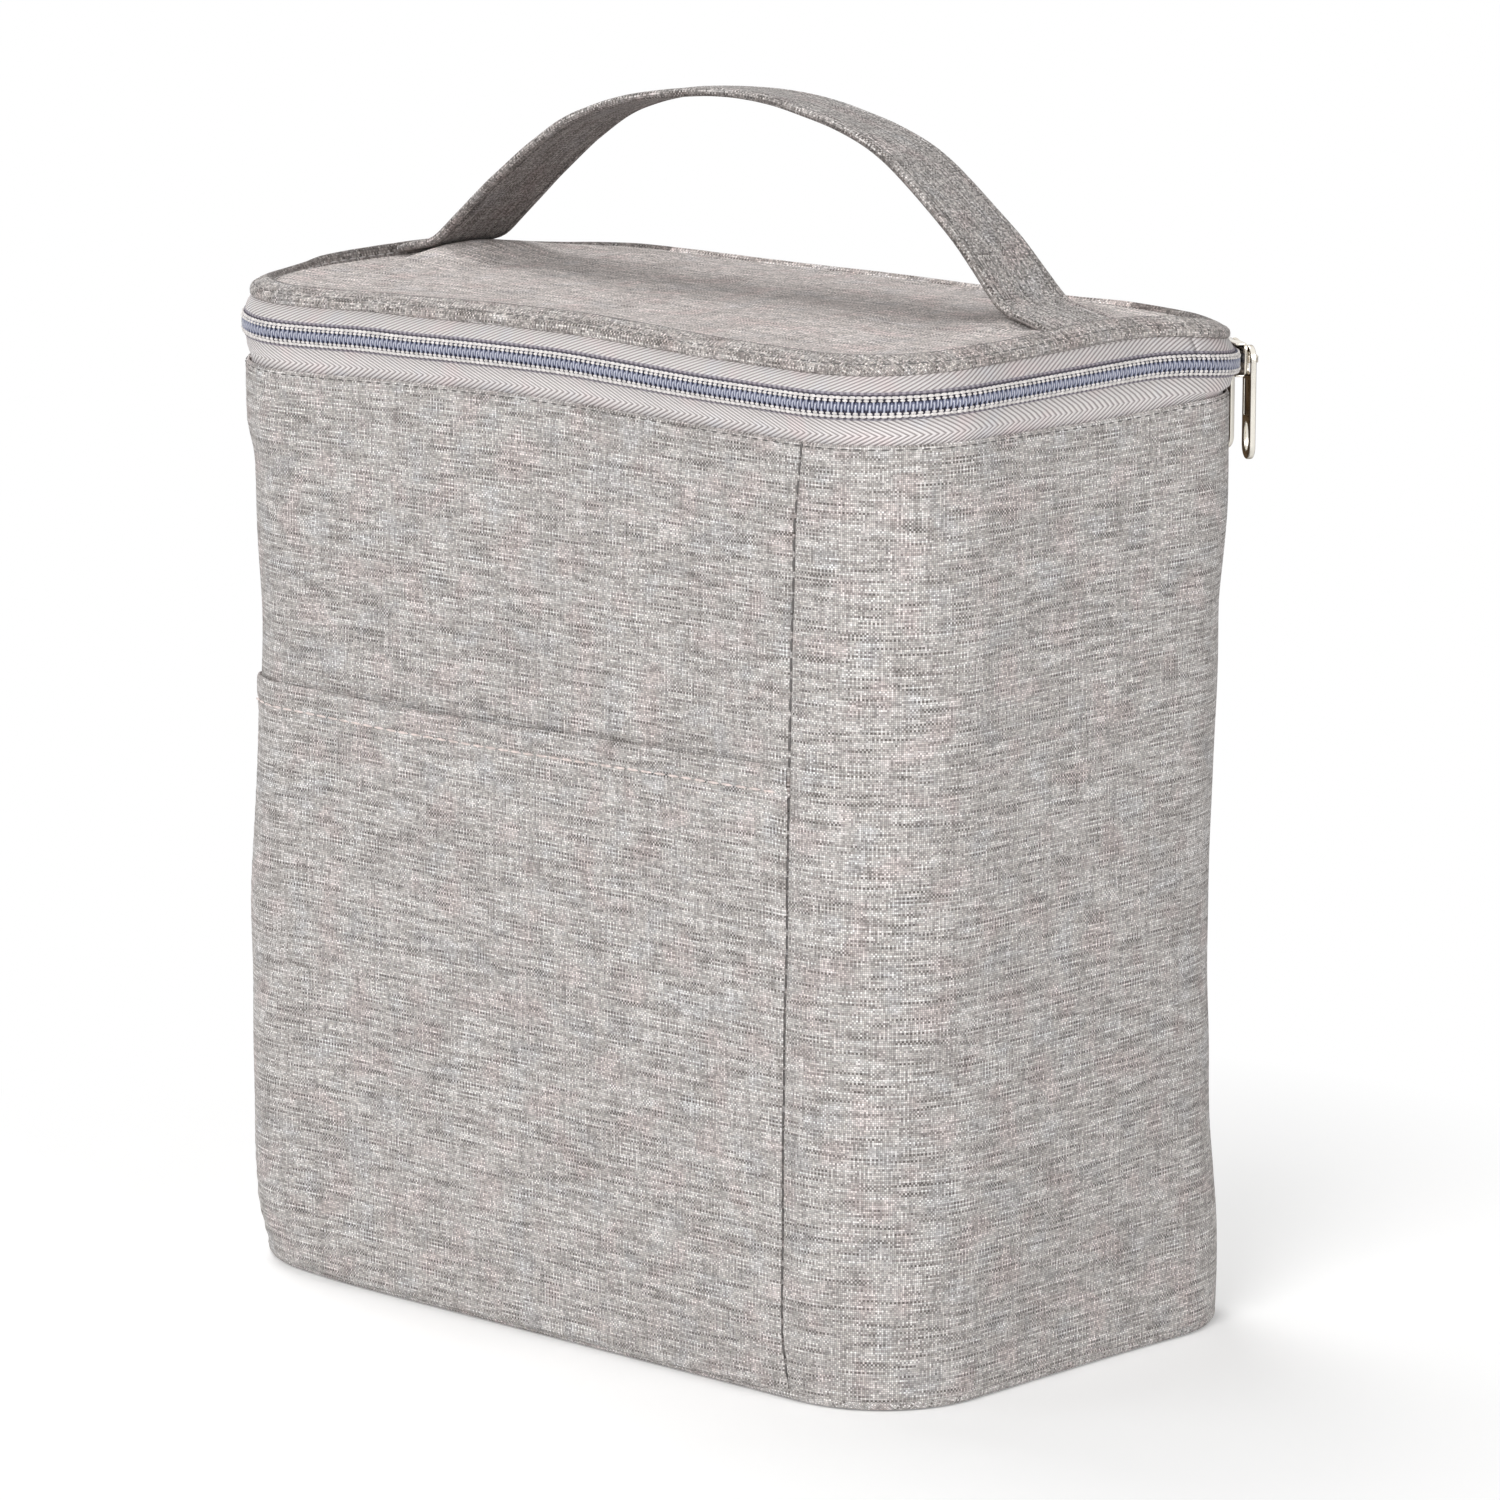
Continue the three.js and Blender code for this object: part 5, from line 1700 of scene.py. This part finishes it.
def lid_foil_height(x, y, share, s):
    low = under_rim(s) * (1 - smooth_step(share, 0.1, 0.42))
    return low - 0.00012 * (crumple(x * 1.1, y * 1.1) + 0.4) * smooth_step(share, 0.0, 0.15)


lid_foil = round_sheet(
    "lid_foil", [(-0.0048, 0.2334), (-0.0050, 0.2333), (-0.010, 0.2333), (-0.013, 0.2333)],
    30, lid_foil_height, [foil], FOIL_THICK, stretch=0.0032, flip=True,
)
wear(lid_foil, "lid", "lid_lining")
LID_TAPE = [
    (-0.0056, 0.2319), (-0.0055, 0.2324), (-0.0058, 0.2329), (-0.0066, 0.23295), (-0.0104, 0.23295),
    (-0.0112, 0.2329), (-0.0115, 0.2324), (-0.0114, 0.2319), (-0.0110, 0.23175), (-0.0104, 0.2319),
    (-0.0098, 0.23175), (-0.0072, 0.23175), (-0.0066, 0.2319), (-0.0060, 0.23175),
]
lid_tape = band_of(
    "lid_binding_ring", ring_s,
    lambda s: [(out, z + float(under_rim(s) - zip_lift(s))) for out, z in LID_TAPE],
    [binding_tape], ring=True, soft=False,
)
wear(lid_tape, "lid", "lid_seam_binding")
print("lid layers:", lid_padding.name, lid_foil.name, lid_tape.name)

# %% [markdown]
# The hinge is a strip of the melange cloth across the back, from inside the wall up under the lid.
# On the real bag it folds as the lid opens; here it is made in its closed shape only, as one sheet.

# %% Cut the hinge strip
strip_rows = [(-0.0010, z) for z in np.arange(0.2142, 0.2196, 0.0013)]
strip_rows += [(-0.00095, 0.2199), (-0.0007, 0.2208), (-0.0003, 0.2220)]
strip_rows += [(-0.0001 - 0.0003 * math.sin((z - 0.223) * 400), z) for z in np.arange(0.2232, 0.2330, 0.0008)]
strip_rows += [(-0.0007, 0.2336), (-0.0012, 0.2343), (-0.0018, 0.2348), (-0.0021, 0.2351), (-0.0023, 0.2354)]
out, z = np.array(strip_rows).T[:, None, :]
s = np.linspace(BACK_MIDDLE - HINGE_HALF, BACK_MIDDLE + HINGE_HALF, 72)[:, None]
ends = smooth_step(np.minimum(s - s[0], s[-1] - s), 0, 0.0012)
uneven = 0.0003 * small_waves(s * 1.6, z * 2) * smooth_step(z, 0.219, 0.224)
points = place(s, out - 0.0003 * (1 - ends) + uneven * ends, z)
hinge_cloth = sheet_of("hinge_cloth", points, s + 4.4, z, melange, 0.0005)
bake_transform(hinge_cloth)
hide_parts("hinge_strip")
print("hinge strip:", faces_in(hinge_cloth), "triangles")

# %% [markdown]
# ## The strap
#
# The strap is a folded band of the same cloth, 25 mm wide and 2 mm thick, stitched along both edges.
# Its ends lie flat on the lid and vanish under the ridge. Between them it springs up in one arch,
# creased where it leaves the lid, and the middle twists a little, so its rear edge hangs lower.
#
# A curve through a few given points gives the middle line. The cross-section is swept along it.

# %% Draw the strap's middle line
STRAP_POINTS = [
    (-103.4, 240.0), (-100.0, 241.1), (-96.0, 241.9), (-93.0, 242.6), (-90.8, 243.6), (-88.6, 245.2),
    (-85.2, 248.1), (-78.4, 253.8), (-72.7, 258.6), (-68.3, 262.0), (-62.6, 266.4), (-58.3, 269.4),
    (-48.4, 275.4), (-38.5, 279.2), (-29.0, 281.7), (-20.0, 283.1), (-10.0, 284.1), (0.0, 284.6),
    (9.4, 284.4), (18.8, 283.4), (28.0, 281.6), (37.0, 279.5), (46.0, 276.4), (53.0, 272.8), (60.0, 268.0),
    (67.0, 262.6), (73.9, 257.0), (79.5, 251.6), (84.8, 246.2), (87.6, 243.6), (90.6, 242.1), (95.0, 241.2),
    (100.0, 240.0), (103.4, 239.0),
]
STRAP_TWIST = [
    (-103, 0), (-80, 0), (-72, 1.5), (-60, 2.5), (-45, 2.5), (-36, 1.8), (-25, 0), (-12, -3), (0, -5),
    (15, -6.5), (30, -7), (46, -8), (60, -8), (74, -6.5), (85, -4), (92, -2), (103, 0),
]


def smooth_line(points, step):
    """Catmull-Rom curve through the points, resampled at equal steps."""
    points = np.array(points, float)
    padded = np.concatenate([[2 * points[0] - points[1]], points, [2 * points[-1] - points[-2]]])
    dense = []
    for a, b, c, d in zip(padded, padded[1:], padded[2:], padded[3:]):
        for t in np.linspace(0, 1, 12, endpoint=False):
            bend = (2 * a - 5 * b + 4 * c - d) * t**2 + (3 * b - a - 3 * c + d) * t**3
            dense.append(0.5 * (2 * b + (c - a) * t + bend))
    dense = np.array(dense + [points[-1]])
    gone = np.concatenate([[0], np.cumsum(np.linalg.norm(np.diff(dense, axis=0), axis=1))])
    wanted = np.linspace(0, gone[-1], int(round(gone[-1] / step)) + 1)
    return np.stack([np.interp(wanted, gone, dense[:, n]) for n in range(dense.shape[1])], -1), wanted


strap_line, strap_gone = smooth_line(np.array(STRAP_POINTS) * MM, 0.0016)
STRAP_MIDDLE_Y = 0.006
places, turns = np.array(STRAP_TWIST, float).T
strap_tilt = np.radians(sum(
    np.interp(strap_line[:, 0] / MM + step, places, turns) for step in (-8, -4, 0, 4, 8)) / 5)
print(f"strap: {strap_gone[-1] * 1000:.0f} mm long")

# %% Sweep the strap
half = [
    (-12.5, 0.0), (-12.42, 0.55), (-12.0, 0.92), (-11.2, 1.03), (-10.6, 0.98), (-10.2, 0.74), (-9.8, 0.98),
    (-9.0, 1.04), (-5.0, 0.96), (0.0, 0.93), (5.0, 0.96), (9.0, 1.04), (9.8, 0.98), (10.2, 0.74),
    (10.6, 0.98), (11.2, 1.03), (12.0, 0.92), (12.42, 0.55),
]
strap_section = np.array(half + [(-across, -thick) for across, thick in half]) * MM
along = np.gradient(strap_line, axis=0)
along /= np.linalg.norm(along, axis=1)[:, None]
strap_normal = np.stack([-along[:, 1], along[:, 0]], -1)


def on_strap(across, thick):
    """Points on the strap for each station: across its width and out of its middle surface."""
    across, thick = np.asarray(across)[None, :], np.asarray(thick)[None, :]
    cos, sin = np.cos(strap_tilt)[:, None], np.sin(strap_tilt)[:, None]
    rise = thick * cos + across * sin
    side = across * cos - thick * sin
    sag = 0.00012 * small_waves(strap_gone[:, None] * 1.5, across * 3)
    x = strap_line[:, 0, None] + strap_normal[:, 0, None] * (rise + sag)
    z = strap_line[:, 1, None] + strap_normal[:, 1, None] * (rise + sag)
    return np.stack([x, STRAP_MIDDLE_Y + side, z], -1)


points = on_strap(strap_section[:, 0], strap_section[:, 1])
# painted shadow: the faces under the strap take the darkest copy of the melange
underside_painted_shadow_faces = np.arange(len(strap_section)) >= len(half)
strap_painted_shade_finishes = [strap_partly_painted_shade_melange, strap_underside_painted_shadow_melange]
carry_strap = tube_of(
    "carry_strap", points, strap_gone + 5.3, girth_of(strap_section), strap_painted_shade_finishes, underside_painted_shadow_faces,
)
close_ends(carry_strap, flat=False)
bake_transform(carry_strap)
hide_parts("strap_arch", "strap_end_left", "strap_end_right")
print("strap faces:", faces_in(carry_strap))

# %% Stitch the strap's edges
stitch_places = []
for across in (-0.0102, 0.0102):
    for face in (1, -1):
        line = on_strap([across], [face * 0.00080])[::2, 0]
        out = on_strap([across], [face * 0.010])[::2, 0] - line
        stitch_places += frames_along(line, out)[1:-1]
strap_stitches = sew("strap_topstitches", TOP_STITCH, stitch_places, dark_thread_partly_painted_shade)
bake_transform(strap_stitches)
print("strap stitches:", len(stitch_places))

# %% [markdown]
# ## The sliders
#
# Two nickel sliders sit nose to nose at the rear right corner. Each has a front plate and a back
# plate, a post between them that parts the coil, two side flanges, and a crown: the little arch that
# holds the pull. The pull is a long tab with a rounded end, a square hole for the crown and an oval
# eye. Both pulls hang at the front end of their crown.
#
# Flat metal parts start as flat outlines, with their holes, made thick and given a bevelled rim. They
# are drawn in the slider's own axes, as X points out of the bag, Y runs along the zip, and Z is up.

# %% Cut flat metal parts
def rounded(points, radius, steps=5):
    """Round the corners of an outline given as (a, b) points."""
    points = [Vector(point) for point in points]
    result = []
    for n, corner in enumerate(points):
        before, after = points[n - 1], points[(n + 1) % len(points)]
        to_before, to_after = (before - corner), (after - corner)
        reach = min(radius, to_before.length / 2.01, to_after.length / 2.01)
        start = corner + to_before.normalized() * reach
        end = corner + to_after.normalized() * reach
        for t in np.linspace(0, 1, steps):
            result.append(start * (1 - t) ** 2 + corner * 2 * t * (1 - t) + end * t**2)
    return [tuple(point) for point in result]


ACROSS_ZIP = Matrix(((0, 0, 1, 0), (1, 0, 0, 0), (0, 1, 0, 0), (0, 0, 0, 1)))
ALONG_ARCH = Matrix(((0, 1, 0, 0), (1, 0, 0, 0), (0, 0, -1, 0), (0, 0, 0, 1)))


def flat_metal(name, outlines, low, high, bevel, axes):
    """A plate cut to outlines in mm, the first being its rim and the rest its holes."""
    curve = bpy.data.curves.new(name, "CURVE")
    curve.dimensions = "2D"
    curve.fill_mode = "BOTH"
    curve.extrude = (high - low) / 2 * MM - bevel * MM
    curve.bevel_depth = bevel * MM
    curve.bevel_resolution = 2
    curve.offset = -bevel * MM
    for line in outlines:
        spline = curve.splines.new("POLY")
        spline.points.add(len(line) - 1)
        for point, (a, b) in zip(spline.points, line):
            point.co = (a * MM, b * MM, 0, 1)
        spline.use_cyclic_u = True
    plate = bpy.data.objects.new(name, curve)
    scene.collection.objects.link(plate)
    select_only(plate)
    bpy.ops.object.convert(target="MESH")
    plate = bpy.context.object
    plate.data.transform(Matrix.Translation((0, 0, (low + high) / 2 * MM)))
    plate.data.transform(axes)
    return clean(plate, 1e-7)


def arc(middle_a, middle_b, half_a, half_b, start, end, count):
    """Points of an ellipse between two angles."""
    return [
        (middle_a + half_a * math.cos(angle), middle_b + half_b * math.sin(angle))
        for angle in np.linspace(start, end, count)
    ]


print("flat metal is drawn in mm, in the slider's own axes")

# %% Build one slider
PLATE_IN, PLATE_OUT = 30.6, 31.5
PULL_IN, PULL_OUT = 31.8, 33.2
CROWN_IN, CROWN_OUT = 33.6, 34.7


def join_into(name, parts):
    select_only(parts[0])
    for part in parts[1:]:
        part.select_set(True)
    bpy.ops.object.join()
    joined = bpy.context.object
    joined.name = name
    return joined


def slider_body(name, nose):
    """The slider without its pull; nose is +1 or -1, the way its wide end faces along Y."""
    rim = rounded([
        (-5.8, -3.9), (0.2, -3.9), (3.2, -4.3), (5.8, -3.3), (5.8, 3.3), (3.2, 4.3), (0.2, 3.9), (-5.8, 3.9),
    ], 1.5)
    if nose < 0:
        rim = [(-a, b) for a, b in rim][::-1]
    back_rim = rounded([(-5.8, -3.0), (5.8, -3.0), (5.8, 3.0), (-5.8, 3.0)], 1.4)
    front = flat_metal("front_plate", [rim], PLATE_IN, PLATE_OUT, 0.28, ACROSS_ZIP)
    back = flat_metal("back_plate", [back_rim], 25.85, 26.75, 0.25, ACROSS_ZIP)
    post_middle = nose * 4.4
    post_low, post_high = (26.5, post_middle - 1.4, -0.5), (30.8, post_middle + 1.4, 0.5)
    post = local_block("post", Vector(post_low) * MM, Vector(post_high) * MM, 0.0002)
    sides = []
    for flange_middle in (-3.675, 3.675):
        low, high = (28.75, -5.5, flange_middle - 0.225), (30.9, 5.5, flange_middle + 0.225)
        sides.append(local_block("flange", Vector(low) * MM, Vector(high) * MM, 0.00015))
    arch = rounded([(-4.85, 31.2), (-4.85, CROWN_OUT), (4.85, CROWN_OUT), (4.85, 31.2)][::-1], 1.8, 7)
    crown_rim = [(4.85, 31.2)] + [point for point in arch if point[1] > 31.21]
    crown_rim += [(-4.85, 31.2), (-3.15, 31.2), (-3.15, CROWN_IN - 0.8), (-2.5, CROWN_IN)]
    crown_rim += [(2.5, CROWN_IN), (3.15, CROWN_IN - 0.8), (3.15, 31.2)]
    crown = flat_metal("crown", [crown_rim], -0.85, 0.85, 0.22, ALONG_ARCH)
    for foot in (-4.0, 4.0):
        bpy.ops.mesh.primitive_cylinder_add(
            vertices=20, radius=0.0014, depth=0.0003, location=(31.6 * MM, foot * MM, 0),
            rotation=(0, math.pi / 2, 0),
        )
        sides.append(bpy.context.object)
        bpy.ops.object.transform_apply(location=True, rotation=True, scale=True)
    return join_into(name, [front, back, post, crown, *sides])


def slider_tab(name):
    """The pull: a rounded tab with a hole, an eye, and a shallow panel pressed into both faces."""
    half, length = 3.3, 26.5
    low = half - length
    ends = arc(0, 0, half, half, 0, math.pi, 18) + arc(0, low + half, half, half, math.pi, 2 * math.pi, 18)
    hole = rounded([(-2.35, 1.75), (2.35, 1.75), (2.35, -3.25), (-2.35, -3.25)], 0.7, 4)
    eye = arc(0, low + 1.9 + 3.4, 1.75, 3.4, 0, -2 * math.pi, 25)[:-1]
    tab = flat_metal(name, [ends, hole, eye], PULL_IN, PULL_OUT, 0.3, ACROSS_ZIP)
    panel = local_block("panel", (0.0, -2.0 * MM, -13.2 * MM), (0.0004, 2.0 * MM, -4.6 * MM), 0.00018)
    for shift in (PULL_OUT * MM - 0.00022, -(PULL_OUT - PULL_IN) * MM + 0.00004):
        panel.data.transform(Matrix.Translation((shift, 0, 0)))
        apply_modifier(tab, "BOOLEAN", operation="DIFFERENCE", solver="EXACT", object=panel)
    throw_away(panel)
    tab.data.transform(Matrix.Translation((0, -4.0 * MM, 0)))
    return tab


print("slider plate:", round(PLATE_OUT - PLATE_IN, 2), "mm thick; pull: 26.5 mm long")

# %% Set both sliders on the zip
CORNER_MIDDLE = Matrix.Translation((FRONT_HALF, SIDE_HALF, ZIP_MIDDLE))
for side, turn, nose in (("front", 56, 1), ("rear", 82, -1)):
    on_zip = RIGHT_REAR + math.radians(turn) * CORNER
    moved = Matrix.Translation((float(zip_flare(on_zip)), 0, float(zip_lift(on_zip)) - 0.0002))
    spot = CORNER_MIDDLE @ Matrix.Rotation(math.radians(turn), 4, "Z") @ moved
    body = set_in_place(slider_body(f"{side}_zip_slider", nose), spot, nickel, 35)
    wear(body, f"{side}_slider", f"slider_{side}")
    tab = set_in_place(slider_tab(f"{side}_zip_pull"), spot, pull_nickel_painted_reflection, 35)
    wear(tab, f"{side}_pull", f"slider_{side}_pull")
    print(side, "slider:", faces_in(body) + faces_in(tab), "triangles")
